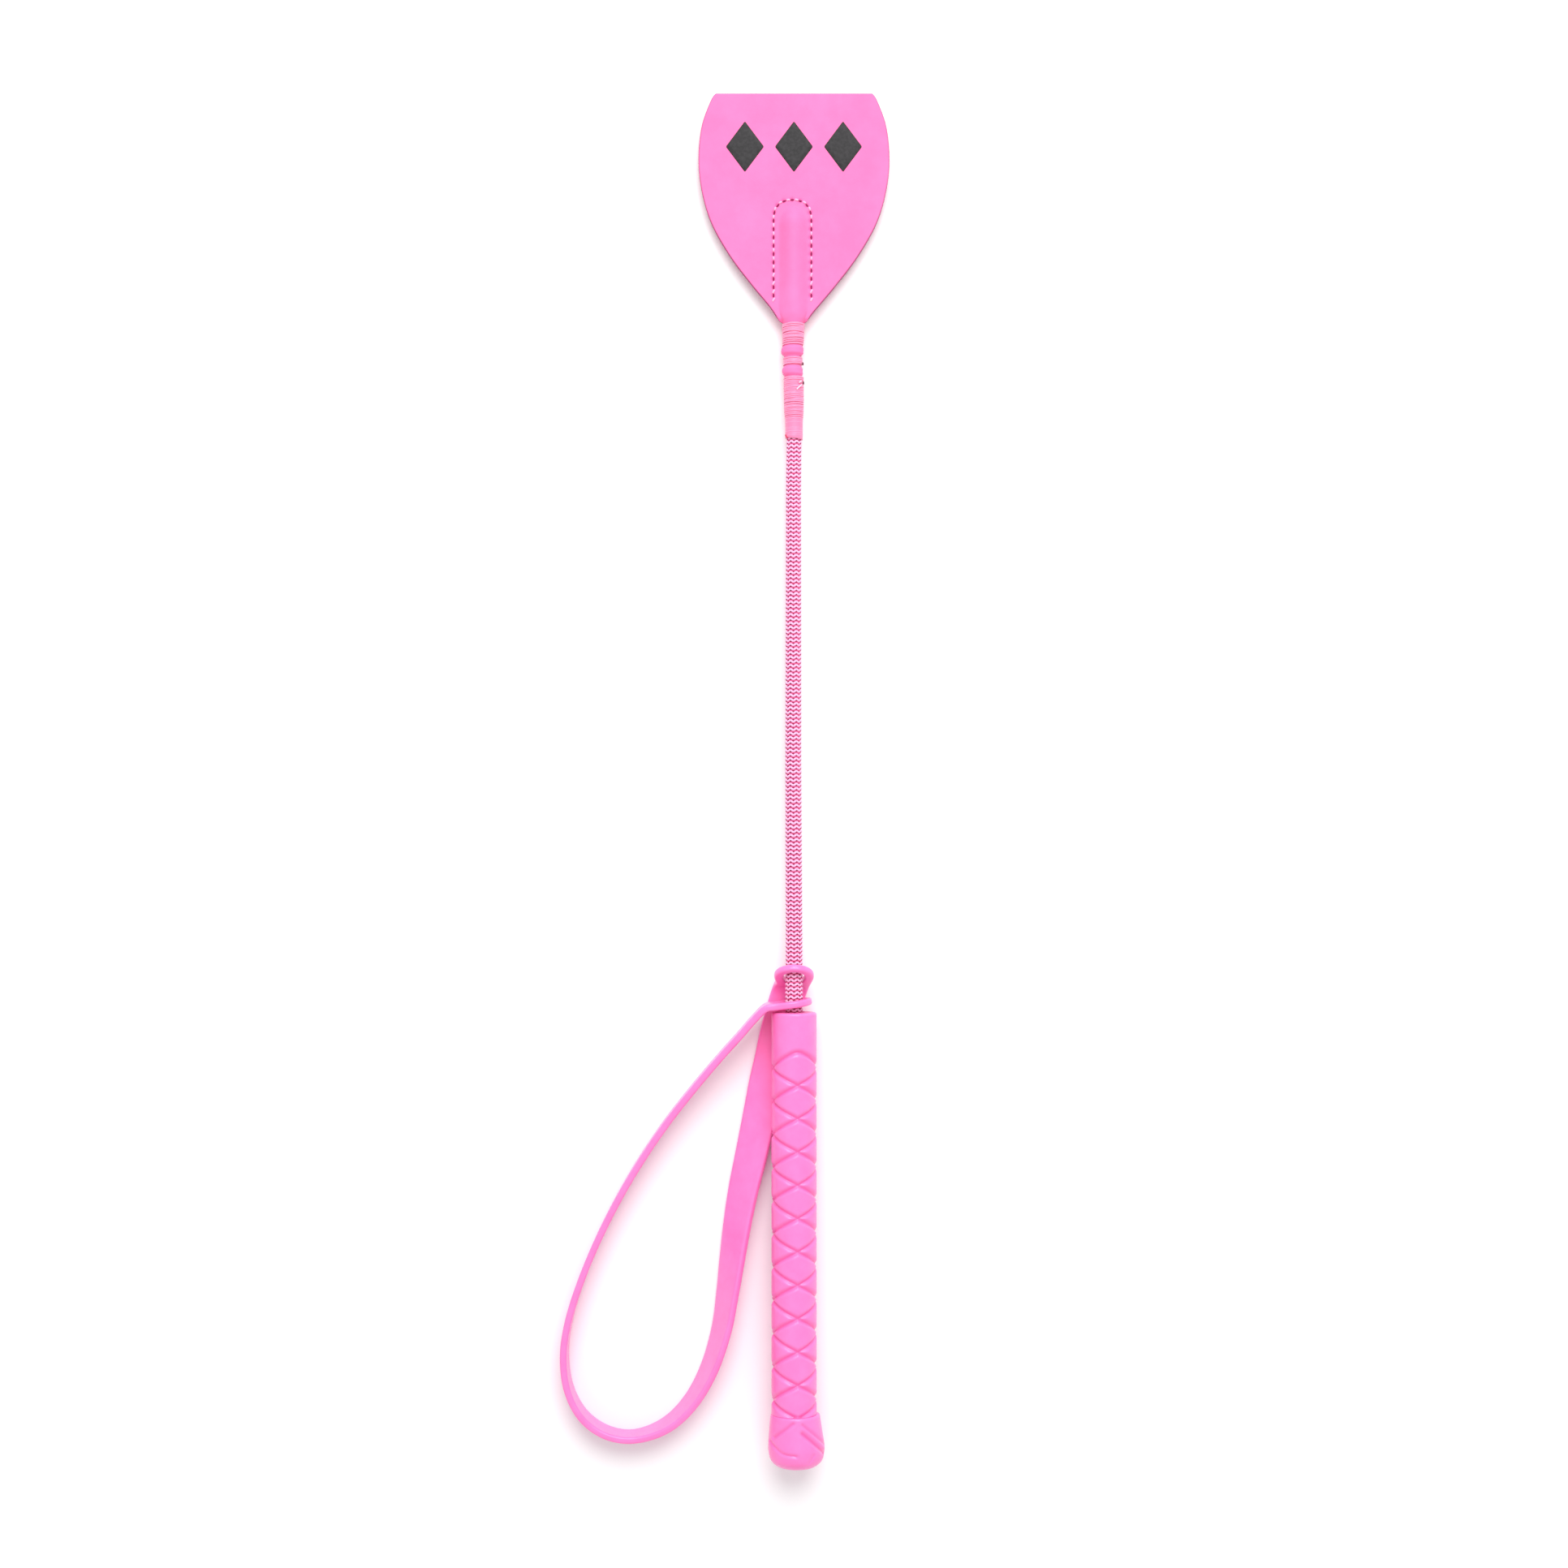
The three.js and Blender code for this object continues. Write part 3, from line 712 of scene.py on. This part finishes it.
INNER_SHARE = 0.6  # of the columns' shares, the zone that runs straight along the pocket
INNER_WIDTH = 8.0


def tongue_columns():
    """Shares from edge to edge: an even inner zone, closing up on the edges."""
    inner = np.linspace(0, INNER_SHARE, 29)
    outer = INNER_SHARE + (1 - INNER_SHARE) * (1 - (1 - np.linspace(0, 1, 22)[1:]) ** 1.6)
    edge = np.array([0.985, 0.992, 0.997])
    shares = np.unique(np.concatenate([inner, outer, edge]))
    return np.concatenate([-shares[:0:-1], shares])


def spread_columns(shares, width):
    """x for each share: inner columns run straight, the others follow the edge."""
    near = np.minimum(INNER_WIDTH, 0.7 * width)
    size = np.abs(shares)
    inside = near * size / INNER_SHARE
    outside = near + (width - near) * (size - INNER_SHARE) / (1 - INNER_SHARE)
    return np.sign(shares) * np.where(size < INNER_SHARE, inside, outside)


def stitch_line(spacing):
    """Evenly spaced (x, s, heading) places along the U of stitches."""
    angles = np.linspace(math.pi, 0, 121)
    cosine, sine = np.cos(angles), np.sin(angles)
    arch_x = np.sign(cosine) * np.abs(cosine) ** STITCH_SQUARE
    arch_s = np.maximum(sine, 0) ** STITCH_SQUARE
    x = STITCH_MIDDLE + STITCH_HALF * np.concatenate([[-1], arch_x, [1]])
    s = np.concatenate([[STITCH_START], STITCH_ARC + STITCH_HALF * arch_s, [STITCH_START]])
    run = np.concatenate([[0], np.cumsum(np.hypot(np.diff(x), np.diff(s)))])
    at = np.linspace(0, run[-1], int(round(run[-1] / spacing)) + 1)
    nearby = 0.2
    x_step = np.interp(at + nearby, run, x) - np.interp(at - nearby, run, x)
    s_step = np.interp(at + nearby, run, s) - np.interp(at - nearby, run, s)
    return np.stack([np.interp(at, run, x), np.interp(at, run, s), np.arctan2(s_step, x_step)], axis=1)


STITCH_PITCH = 2.76
SINK_DEPTH = 0.30  # how far a stitch's hole pulls the leather down
SINK_HALF = 0.7
EDGE_ROUND = 0.45  # rounding of the leather's cut edges
RIPPLE = 0.05  # unevenness of the flat leather
STITCHES = stitch_line(STITCH_PITCH)
HOLES = (STITCHES[:-1] + STITCHES[1:]) / 2


def stitch_sink(x, s):
    """How far the stitching pulls the leather down."""
    sink = np.zeros(np.broadcast(x, s).shape)
    for hole_x, hole_s, _ in HOLES:
        away = (x - hole_x) ** 2 + (s - hole_s) ** 2
        sink = np.maximum(sink, SINK_DEPTH * np.exp(-away / SINK_HALF ** 2))
    return sink


def outer_height(x, s, width):
    """Height of a ply's outer face over the tongue's middle plane."""
    radius = ridge_radius(s)
    sheet = (PLY_GAP + PLY) * smoothstep(PLATE_START - 0.8, PLATE_START + 1.5, s)
    sheet = np.maximum(sheet, PLY_GAP + 0.02)
    spread = smoothstep(PLATE_START - 0.5, PLATE_START + 6, s)
    closing = 1 - np.clip((s - POCKET_ROUND) / POCKET_END, 0, 1) ** 2
    reach = (radius + 1.1 * spread) * np.sqrt(np.maximum(closing, 1e-6))
    across = np.clip(1 - (x / reach) ** 2, 0, 1)
    height = sheet + (radius - sheet) * closing ** 1.4 * across ** (0.5 + 1.1 * spread)
    to_edge = np.minimum(width - np.abs(x), TIP - s)
    inside = np.clip(EDGE_ROUND - to_edge, 0, EDGE_ROUND)
    rounding = EDGE_ROUND - np.sqrt(np.maximum(EDGE_ROUND ** 2 - inside ** 2, 0))
    flat = smoothstep(PLATE_START + 1, PLATE_START + 4, s)
    ripple = RIPPLE * np.sin(s * 0.21 + 1) * np.sin(x * 0.17 + 0.5) * flat
    return height - rounding * flat - stitch_sink(x, s) + ripple * smoothstep(0, 6, to_edge)


def inner_height(x, s):
    """Height of a ply's inner face: the pocket round the shaft, then flat."""
    shaft = np.sqrt(np.maximum(POCKET_INNER ** 2 - x ** 2, 0))
    return np.where(s < BRAID_END + 0.3, np.maximum(shaft, PLY_GAP), PLY_GAP)


def ply_grid():
    """x, s and half width over a ply; on the neck the columns follow its arc."""
    shares = tongue_columns()[None, :]
    rows = tongue_rows()
    s = rows[:, None] + 0 * shares
    width = half_width(rows)[:, None]
    neck_arc = smoothstep(PLATE_START + 1.5, PLATE_START - 0.5, s)
    flat_x = spread_columns(shares, width)
    arc_x = width * np.sin(shares * math.pi / 2)
    return flat_x * (1 - neck_arc) + arc_x * neck_arc, s, width


def ply_faces(rows, columns):
    """Faces of an outer sheet, of an inner one after it, and of the wall between."""
    sheet = rows * columns
    faces = grid_faces(rows, columns)
    ids = np.arange(sheet).reshape(rows, columns)
    rim = np.concatenate([ids[:, 0], ids[-1, 1:], ids[-2::-1, -1], ids[0, -2:0:-1]])
    after = np.roll(rim, -1)
    wall = np.stack([rim, after, after + sheet, rim + sheet], axis=1)
    return np.concatenate([faces, (faces + sheet)[:, ::-1], wall])


def build_ply(name, side, nodes):
    x, s, width = ply_grid()
    top = outer_height(x, s, width)
    bottom = np.minimum(inner_height(x, s), top - 0.02)
    placed_x = x + smoothstep(9.0, 5.0, np.abs(x)) * neck_shift(s)
    points = np.concatenate([np.stack([placed_x, s, side * height], axis=-1).reshape(-1, 3)
                             for height in (top, bottom)])
    to_edge = np.minimum(width - np.abs(x), TIP - s)
    # painted shade along the rounded cut edges; the inner face and the wall between the faces are shaded all over
    painted = smoothstep(0.30, 0.05, to_edge) * smoothstep(PLATE_START + 0.5, PLATE_START + 2.5, s)
    # painted shade in the dips round the stitch holes
    stitch_shade = smoothstep(0.0, 0.22, stitch_sink(x, s)) * 0.45
    attributes = {
        "edge": np.concatenate([painted.ravel(), np.ones(s.size)]),
        "recess_shade": np.concatenate([stitch_shade.ravel(), np.zeros(s.size)]),
    }
    thing = make_object(name, place(points), ply_faces(*s.shape), attributes)
    sharpen(thing, 60)
    finish_piece(thing, LEATHER, "tongue_leather", None, *nodes)
    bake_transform(thing)


FACE = PLY_GAP + PLY  # height of the tongue's flat faces over its middle plane
STITCH_SIDES = 10
STITCH_RUN = np.linspace(-1, 1, 11)  # from one hole to the next


def stitch_path(x, s, heading, side):
    """One stitch, proud of the leather, that sinks into a hole at each end."""
    slant = math.radians(28) * float(smoothstep(402, 393, s))
    lean = heading - slant + RANDOM.normal(0, 0.05)
    reach = 0.54 + 0.3 * slant + RANDOM.normal(0, 0.03)
    height = FACE + 0.10 - 0.42 * STITCH_RUN ** 4
    run_x = x + reach * STITCH_RUN * math.cos(lean)
    run_s = s + reach * STITCH_RUN * math.sin(lean)
    return thread_path(np.stack([run_x, run_s, side * height], -1), np.array([[0.0, 0.0, side]]))


def build_stitches(side_name, side):
    paths = [stitch_path(*place_on_u, side) for place_on_u in STITCHES]
    points, faces, flow = tubes(paths, 0.36, 0.27, STITCH_SIDES, 0.35)
    # painted shade: darker towards each end, where the stitch sinks into its hole
    flow["depth"] = np.tile(np.repeat(1 - 0.8 * STITCH_RUN ** 6, STITCH_SIDES), len(STITCHES))
    thing = make_object("stitches_" + side_name, place(points), faces, flow)
    finish_piece(thing, STITCH_THREAD, "stitching", "crop", "stitch_thread_" + side_name)


# Rings of a slot from its buried foot over the rim to its middle: size, height over the leather.
HOLE_RINGS = np.array([(1.0, -0.30), (0.94, -0.03), (0.62, -0.07), (0.25, -0.14)])
HOLE_HALF = (0.78, 0.33)


def build_stitch_holes(side_name, side):
    """The slots between stitches, where the thread goes through the leather, coloured all over in painted shade.
    """
    grids = Grids()
    turn = full_turn(14)
    grow, height = HOLE_RINGS[:, :1], HOLE_RINGS[:, 1:]
    a, b = HOLE_HALF[0] * grow * np.cos(turn), HOLE_HALF[1] * grow * np.sin(turn)
    for hole_x, hole_s, heading in HOLES:
        cosine, sine = math.cos(heading), math.sin(heading)
        x, s = hole_x + a * cosine - b * sine, hole_s + a * sine + b * cosine
        grids.add(np.stack([x, s, side * (FACE + height) + 0 * x], axis=-1), capped=True)
    shade = {"recess_shade": np.ones(grids.count)}
    thing = make_object("stitch_holes_" + side_name, place(grids.points()), grids.faces, shade)
    finish_piece(thing, HOLE_SHADE, "stitching", "crop")


# ---- printed lozenges ----
LOZENGE_S = 439.2
LOZENGE_HALF = np.array([6.4, 8.6])
LOZENGE_PLACES = (-16.4, 0.0, 16.4)
INK_LIFT = 0.04
# Rings of a lozenge from its buried wall to near its middle: size, height over the leather.
INK_RINGS = ((1.0, -0.10), (1.0, 0.0), (0.985, 0.03), (0.66, INK_LIFT), (0.33, INK_LIFT))


def leather_top(places):
    """Height of the tongue's outer face at (x, s) places."""
    return outer_height(places[:, 0], places[:, 1], half_width(places[:, 1]))


def lozenge_outline(hub):
    """Places round a lozenge whose corners are cut by a hair."""
    corners = [hub + LOZENGE_HALF * turn for turn in ((1, 0), (0, 1), (-1, 0), (0, -1))]
    shares = np.linspace(0.03, 0.97, 12)[:, None]
    return np.concatenate([a + (b - a) * shares for a, b in zip(corners, corners[1:] + corners[:1])])


def build_lozenges():
    """Three plain charcoal lozenges printed across the front of the tongue."""
    points, faces = [], []
    for x in LOZENGE_PLACES:
        hub = np.array([x, LOZENGE_S])
        outline = lozenge_outline(hub)
        count = len(outline)
        offset = len(points)
        for grow, lift in INK_RINGS:
            ring = hub + (outline - hub) * grow
            height = leather_top(ring) if lift >= 0 else np.full(count, FACE)
            points += np.column_stack([ring, height + lift]).tolist()
        points.append([*hub, leather_top(hub[None])[0] + INK_LIFT])
        faces += (grid_faces(len(INK_RINGS), count, wrap_columns=True) + offset).tolist()
        faces.append(list(range(offset, offset + count)))
        last = offset + (len(INK_RINGS) - 1) * count
        faces += [[last + k, last + (k + 1) % count, len(points) - 1] for k in range(count)]
    thing = make_object("printed_lozenges", place(points), faces)
    sharpen(thing)
    finish_piece(thing, INK, "tongue_leather", "tongue_flap")


# ---- thread bindings ----
THREAD_LIFT = 0.28  # height of the thread's middle over the winding's base
THREAD_HEIGHT = 0.2
THREAD_HALF = 0.33
WINDING = 0.62  # distance between neighbouring turns
FILLER_LIFT = 0.12  # height of the filler under the thread, where there is no wax
WAX_LIFT = 0.35  # how much further the wax fills


def wound_thread(base, start, end, pitch, tilt):
    """The path of a thread wound from start to end."""
    turns = int(round((end - start) / pitch))
    steps = turns * 40
    share = np.linspace(0, 1, steps)
    turn = 2 * math.pi * turns * share + math.pi
    s = start + (end - start) * share
    wander = np.interp(share, np.linspace(0, 1, turns + 2), RANDOM.normal(0, 0.15 * pitch, turns + 2))
    s = s + wander + tilt * np.cos(turn)
    s = np.clip(s, start - 0.1, end + 0.1)
    swell = np.interp(share, np.linspace(0, 1, 3 * turns + 3), RANDOM.normal(0, 0.03, 3 * turns + 3))
    radius = base(s) + THREAD_LIFT + swell
    return thread_path(round_point(radius, turn, s), round_point(1, turn, 0))


def build_binding(name, node, spans, base, wax=np.zeros_like):
    """A band of wound thread over a thin filler; wax(s) from 0 to 1 fills between the turns.

    Each span is (from the node's start, from its end, pitch, tilt) of one layer of thread.
    """
    start, end = node_reach(node)
    paths = [wound_thread(base, start + after, end - before, pitch, tilt)
             for after, before, pitch, tilt in spans]
    points, faces, flow = tubes(paths, THREAD_HALF, THREAD_HEIGHT, 10, 0.18)
    # painted shade: the thread darker low down between its turns
    lift = np.hypot(points[:, 0], points[:, 2]) - base(points[:, 1])
    flow["depth"] = smoothstep(0.12, 0.52, lift)
    along = np.linspace(start + 0.15, end - 0.15, 48)
    outer = [(base(s) + FILLER_LIFT + WAX_LIFT * wax(s), s) for s in along]
    inner = [(base(s) + 0.02, s) for s in along[::-1]]
    filler, filler_faces = turned(outer + inner, 48)
    filler[:, 1] -= 0.10 * filler[:, 0] * wax(filler[:, 1])
    points, faces, flow = around_core(points, faces, flow, filler, filler_faces)
    # painted shade on the filler between the turns, less where wax fills them up
    flow["depth"][-len(filler):] = 0.3 + 0.4 * wax(filler[:, 1])
    points[:, 0] += neck_shift(points[:, 1])
    thing = make_object(name, place(points), faces, flow)
    finish_piece(thing, WAXED_THREAD, "binding_thread", "crop", node)


LOWER = node_reach("binding_lower")
UPPER = node_reach("binding_upper")


def lower_base(s):
    return np.interp(s, [LOWER[0], 347.5, 350, 354, LOWER[1]], [2.44, 2.5, 2.78, 2.88, 2.94])


def lower_wax(s):
    return smoothstep(349.2, 347.6, s)


def middle_base(s):
    return 2.78 + 0 * s


def upper_base(s):
    return np.interp(s, UPPER, [3.06, 3.36])


def build_bindings():
    build_binding("lower_binding", "binding_lower", [
        (0.3, 0.3, WINDING, 0.08), (LOWER[1] - LOWER[0] - 12, 0.4, 2.3, 0.3),
    ], lower_base, lower_wax)
    build_binding("middle_binding", "binding_middle", [
        (0.3, 0.3, WINDING, 0.15), (0.5, 0.5, 1.3, -0.25),
    ], middle_base)
    build_binding("upper_binding", "binding_upper", [
        (0.3, 0.3, WINDING, 0.1), (1.4, 0.4, 1.5, 0.7), (2.4, 0.6, 2.4, -0.5),
    ], upper_base)


# Cut ends of thread that lie on the bindings, through (x, s, z) places.
FRAYED_ENDS = [
    [(0.9, 357.4, 3.35), (1.7, 358.3, 3.3), (2.6, 359.1, 2.75)],
    [(1.7, 359.7, 3.15), (2.1, 360.1, 3.1), (2.5, 360.3, 2.75)],
]
SINGED_ENDS = [
    [(2.9, 365.8, 1.5), (3.0, 366.2, 1.6), (2.9, 366.7, 1.5)],
    [(3.1, 359.4, 1.7), (3.2, 359.8, 1.8), (3.1, 360.3, 1.7)],
]
RED_CORNER = [[(-2.8, 342.6, 1.3), (-2.6, 341.9, 1.6), (-2.1, 341.4, 2.1)]]


def build_thread_ends(name, material, ends):
    """Cut ends of the bindings' thread, one short tube for each."""
    routes = [catmull(stops, 24) for stops in ends]
    paths = [thread_path(route, route * [1, 0, 1]) for route in routes]
    points, faces, flow = tubes(paths, 0.26, 0.24, 10, 0.3)
    flow["depth"] = np.ones(len(points))
    thing = make_object(name, place(points), faces, flow)
    finish_piece(thing, material, "binding_thread", "crop")


# ---- wrist strap ----
# The middle of the strap, in millimetres on the floor: x from the shaft, y from the butt.
HALF_STRAP = STRAP_WIDTH / 2
HALF_THICK = STRAP_THICK / 2
TILT = math.atan2(-ALONG[2], ALONG[1])
UPPER_EYE = (162.5, math.radians(30))  # y, lean off the upright
LOWER_EYE = (-0.6, 153.2, math.radians(8))  # x, y, turn off square


def axis_height(y):
    """Height of the shaft's axis over the floor."""
    return BUTT[2] / MM - y * math.tan(TILT)


def leaning(x, y, heading, degrees, lift=0.0):
    """A place where the strap rests on the floor and leans by an angle."""
    lean, turn = math.radians(degrees), math.radians(heading)
    height = HALF_STRAP * math.sin(lean) + HALF_THICK * math.cos(lean) + lift
    width = (math.cos(lean) * math.cos(turn), math.cos(lean) * math.sin(turn), math.sin(lean))
    return (x, y, height), width


def upright(x, y, height=HALF_STRAP):
    return (x, y, height), (0, 0, 1)


def upper_eye(distance, x=0.0):
    y, lean = UPPER_EYE
    return (x, y + distance * math.sin(lean), axis_height(y) + distance * math.cos(lean)), (1, 0, 0)


def lower_eye(distance):
    x, y, turn = LOWER_EYE
    return (x + distance * math.cos(turn), y + distance * math.sin(turn), axis_height(y)), (0, 0, 1)


STRAP_ROUTE = [
    upper_eye(EYE_R), upper_eye(3.3), upper_eye(0), upper_eye(-3.3, -0.1), upper_eye(-5.4, -0.35),
    ((-0.9, 158.5, 3.3), (1, -0.08, 0)),
] + [leaning(*stop) for stop in (
    (-1.8, 156.1, -10, 0, 0.6), (-3.3, 151.3, -12, 0, 0.14), (-5.2, 144.5, -13, 0, 0.06),
    (-7.4, 134.1, -12, 3), (-9.3, 126.0, -12, 8), (-10.9, 117.8, -12, 13), (-12.6, 109.6, -12, 20),
    (-14.5, 101.0, -11, 27), (-16.8, 91.0, -10, 35), (-19.0, 78.8, -9, 43), (-20.7, 67.0, -8, 50),
    (-22.2, 56.0, -9, 57), (-24.2, 44.0, -13, 63), (-28.4, 30.8, -25, 69), (-34.1, 20.5, -41, 75),
    (-41.2, 13.2, -57, 81), (-48.8, 9.4, -76, 87),
)] + [upright(*stop) for stop in (
    (-56.2, 8.3), (-63.8, 10.3), (-70.6, 15.6), (-75.2, 24.5), (-76.6, 36.0), (-75.0, 47.5),
    (-70.2, 62.5), (-63.1, 78.8, 5.8), (-54.4, 95.0, 6.2), (-43.8, 111.3, 6.8), (-33.8, 124.3, 7.6),
    (-24.3, 135.6, 8.5), (-17.6, 143.1, 9.2), (-13.2, 148.2, 9.7),
)] + [lower_eye(distance) for distance in (-8.6, -5.6, -2.8, 0, 3.3, EYE_R)]


class StrapSurface:
    """Maps places on the unrolled strap (along, across, through) to metres."""

    def __init__(self):
        count = 4001
        self.centre = catmull([stop[0] for stop in STRAP_ROUTE], count)
        width = catmull([stop[1] for stop in STRAP_ROUTE], count)
        along = unit(np.gradient(self.centre, axis=0))
        self.across = unit(width - (width * along).sum(1)[:, None] * along)
        self.through = np.cross(along, self.across)
        steps = np.linalg.norm(np.diff(self.centre, axis=0), axis=1)
        self.run = np.concatenate([[0], np.cumsum(steps)])
        self.length = self.run[-1]

    def points(self, along, across, through):
        centre, sideways, outward = [
            np.stack([np.interp(along, self.run, track[:, k]) for k in range(3)], -1)
            for track in (self.centre, self.across, self.through)]
        floor = centre + sideways * across[..., None] + outward * through[..., None]
        return floor * MM + np.array([BUTT[0], BUTT[1], 0.0])

    def eye(self, last, flat, through):
        """Flat (towards the band, across) places from an end's eye, on the strap."""
        along = EYE_R + flat[:, 0]
        if last:
            along = self.length - along
        return self.points(along, flat[:, 1], np.full(len(flat), through))


EDGE_R = 0.75  # rounding of the strap's long edges
# (inset, through) pairs round one long edge of the strap, from its top to its bottom.
UPPER_EDGE = [(EDGE_R - EDGE_R * math.sin(a), HALF_THICK - EDGE_R + EDGE_R * math.cos(a))
              for a in np.linspace(0, math.pi / 2, 5)]
EDGE = UPPER_EDGE + [(inset, -through) for inset, through in UPPER_EDGE[::-1]]
ACROSS_SHARES = np.linspace(-1, 1, 15)
JUNCTION = 7.4  # from an eye's middle to where the plain band begins
EYE_EDGE = 0.45  # rounding round an eye's hole


def band_half_width(from_end):
    """Half the strap's width: wider at the eyes, easing to the band's own."""
    return EYE_R + (HALF_STRAP - EYE_R) * smoothstep(EYE_R, EYE_R + 6, from_end)


def add_band(grids, surface):
    """The plain band between the two eyes, its section closed all round."""
    first, last = EYE_R + JUNCTION, surface.length - (EYE_R + JUNCTION)
    stations = np.concatenate([np.arange(first, last, 1.1), [last]])
    half = band_half_width(np.minimum(stations, surface.length - stations))
    section = [(share * (half - EDGE_R), HALF_THICK) for share in ACROSS_SHARES]
    section += [(half - inset, through) for inset, through in EDGE[1:-1]]
    section += [(share * (half - EDGE_R), -HALF_THICK) for share in ACROSS_SHARES[::-1]]
    section += [(inset - half, through) for inset, through in EDGE[-2:0:-1]]
    across = np.stack([side for side, through in section], axis=1)
    through = np.array([through for side, through in section]) + 0 * across
    grids.add(surface.points(stations[:, None] + 0 * across, across, through))


def eye_outline():
    """(towards the band, across, the way outward) round an eye."""
    half = float(band_half_width(EYE_R + JUNCTION)) - EDGE_R
    round_r = EYE_R - EDGE_R
    outline = [(JUNCTION, share * half, 0, math.copysign(1, share)) for share in ACROSS_SHARES]
    side = [(a, float(band_half_width(EYE_R + a)) - EDGE_R) for a in np.linspace(JUNCTION, 0, 9)[1:]]
    outline += [(a, width, 0, 1) for a, width in side]
    for angle in np.linspace(math.pi / 2, -math.pi / 2, 33)[1:-1]:
        cosine, sine = math.cos(angle), math.sin(angle)
        outline.append((-round_r * cosine, round_r * sine, -cosine, sine))
    outline += [(a, -width, 0, -1) for a, width in side[::-1]]
    return np.array(outline)


def add_eye(grids, surface, last, hole):
    """One eye: both faces, the hole's wall and the rounded outer edge."""
    outline = eye_outline()
    flat, outward = outline[:, :2], outline[:, 2:]
    angles = np.arctan2(flat[:, 1], flat[:, 0])
    round_hole = np.stack([np.cos(angles), np.sin(angles)], 1)
    rim, wall = (hole + EYE_EDGE) * round_hole, hole * round_hole
    for sign in (1, -1):
        rows = [surface.eye(last, flat + (rim - flat) * share, sign * HALF_THICK)
                for share in (0.0, 0.25, 0.5, 0.75, 1.0)]
        for turn in np.radians((30, 60, 90)):
            lower = HALF_THICK - EYE_EDGE * (1 - math.cos(turn))
            rows.append(surface.eye(last, wall + (rim - wall) * (1 - math.sin(turn)), sign * lower))
        grids.add(np.stack(rows))
    heights = np.linspace(HALF_THICK - EYE_EDGE, EYE_EDGE - HALF_THICK, 4)
    grids.add(np.stack([surface.eye(last, wall, height) for height in heights]))
    free = list(range(len(ACROSS_SHARES) - 1, len(outline))) + [0]
    flat, outward = flat[free], outward[free]
    edge = [surface.eye(last, flat + outward * (EDGE_R - inset), through) for inset, through in EDGE]
    grids.add(np.stack(edge), wrap_columns=False)


def build_strap():
    surface = StrapSurface()
    grids = Grids()
    add_band(grids, surface)
    add_eye(grids, surface, False, np.array([EYE_HOLE * 1.2, EYE_HOLE]))
    add_eye(grids, surface, True, np.array([EYE_HOLE, EYE_HOLE]))
    recess_shade = {"recess_shade": np.zeros(grids.count)}
    thing = make_object("wrist_strap_band", grids.points(), grids.faces, recess_shade, weld=2e-6)
    finish_piece(thing, STRAP_RUBBER, "strap_rubber", "wrist_loop", "wrist_strap")


# ---- stage ----

def build_floor():
    bpy.ops.mesh.primitive_plane_add(size=6)
    floor = bpy.context.object
    floor.name = "floor"
    floor.data.materials.append(FLOOR)


def build_light():
    """A white surround and one broad lamp, high beyond the tongue."""
    world = bpy.data.worlds.new("studio")
    world.use_nodes = True
    background = world.node_tree.nodes["Background"]
    background.inputs["Color"].default_value = (1, 1, 1, 1)
    background.inputs["Strength"].default_value = 0.82
    bpy.context.scene.world = world
    light = bpy.data.lights.new("key", "AREA")
    light.shape = "DISK"
    light.size = 1.3
    light.energy = 23
    lamp = bpy.data.objects.new("key", light)
    lamp.location = (0.14, 0.97, 1.25)
    lamp.rotation_euler = (-lamp.location).to_track_quat("-Z", "Y").to_euler()
    bpy.context.scene.collection.objects.link(lamp)


def build_camera():
    """Straight above the crop, square on, with a margin round it."""
    camera = bpy.data.cameras.new("camera")
    camera.sensor_width = 36
    distance = 0.85
    view_width = 0.522
    camera.lens = camera.sensor_width * distance / view_width
    eye = bpy.data.objects.new("camera", camera)
    eye.location = (BUTT[0] - 0.00333, BUTT[1] + 0.22613, distance + 0.008)
    bpy.context.scene.collection.objects.link(eye)
    bpy.context.scene.camera = eye


def dress_cad_nodes():
    """Finishes for the CAD pieces that stay: the rod and the handle's filler."""
    for node, material in (("core_rod", GLASS_FIBRE), ("handle_core", WOOD)):
        mesh = frame["nodes"][node].data
        mesh.materials.clear()
        mesh.materials.append(material)


build_camera()
build_floor()
build_light()
dress_cad_nodes()
build_grip()
build_pommel()
build_braid()
build_ply("tongue_front", 1, ("tongue_front_base", "tongue_front_flap"))
build_ply("tongue_back", -1, ("tongue_back_base", "tongue_back_flap"))
for side_name, side in (("front", 1), ("back", -1)):
    build_stitches(side_name, side)
    build_stitch_holes(side_name, side)
build_lozenges()
build_bindings()
build_thread_ends("loose_thread_ends", HIGHLIT_THREAD_END, FRAYED_ENDS)
build_thread_ends("singed_thread_ends", SINGED_THREAD, SINGED_ENDS)
build_thread_ends("red_thread_corner", RED_THREAD, RED_CORNER)
build_strap()

bpy.context.scene.view_settings.view_transform = "Standard"
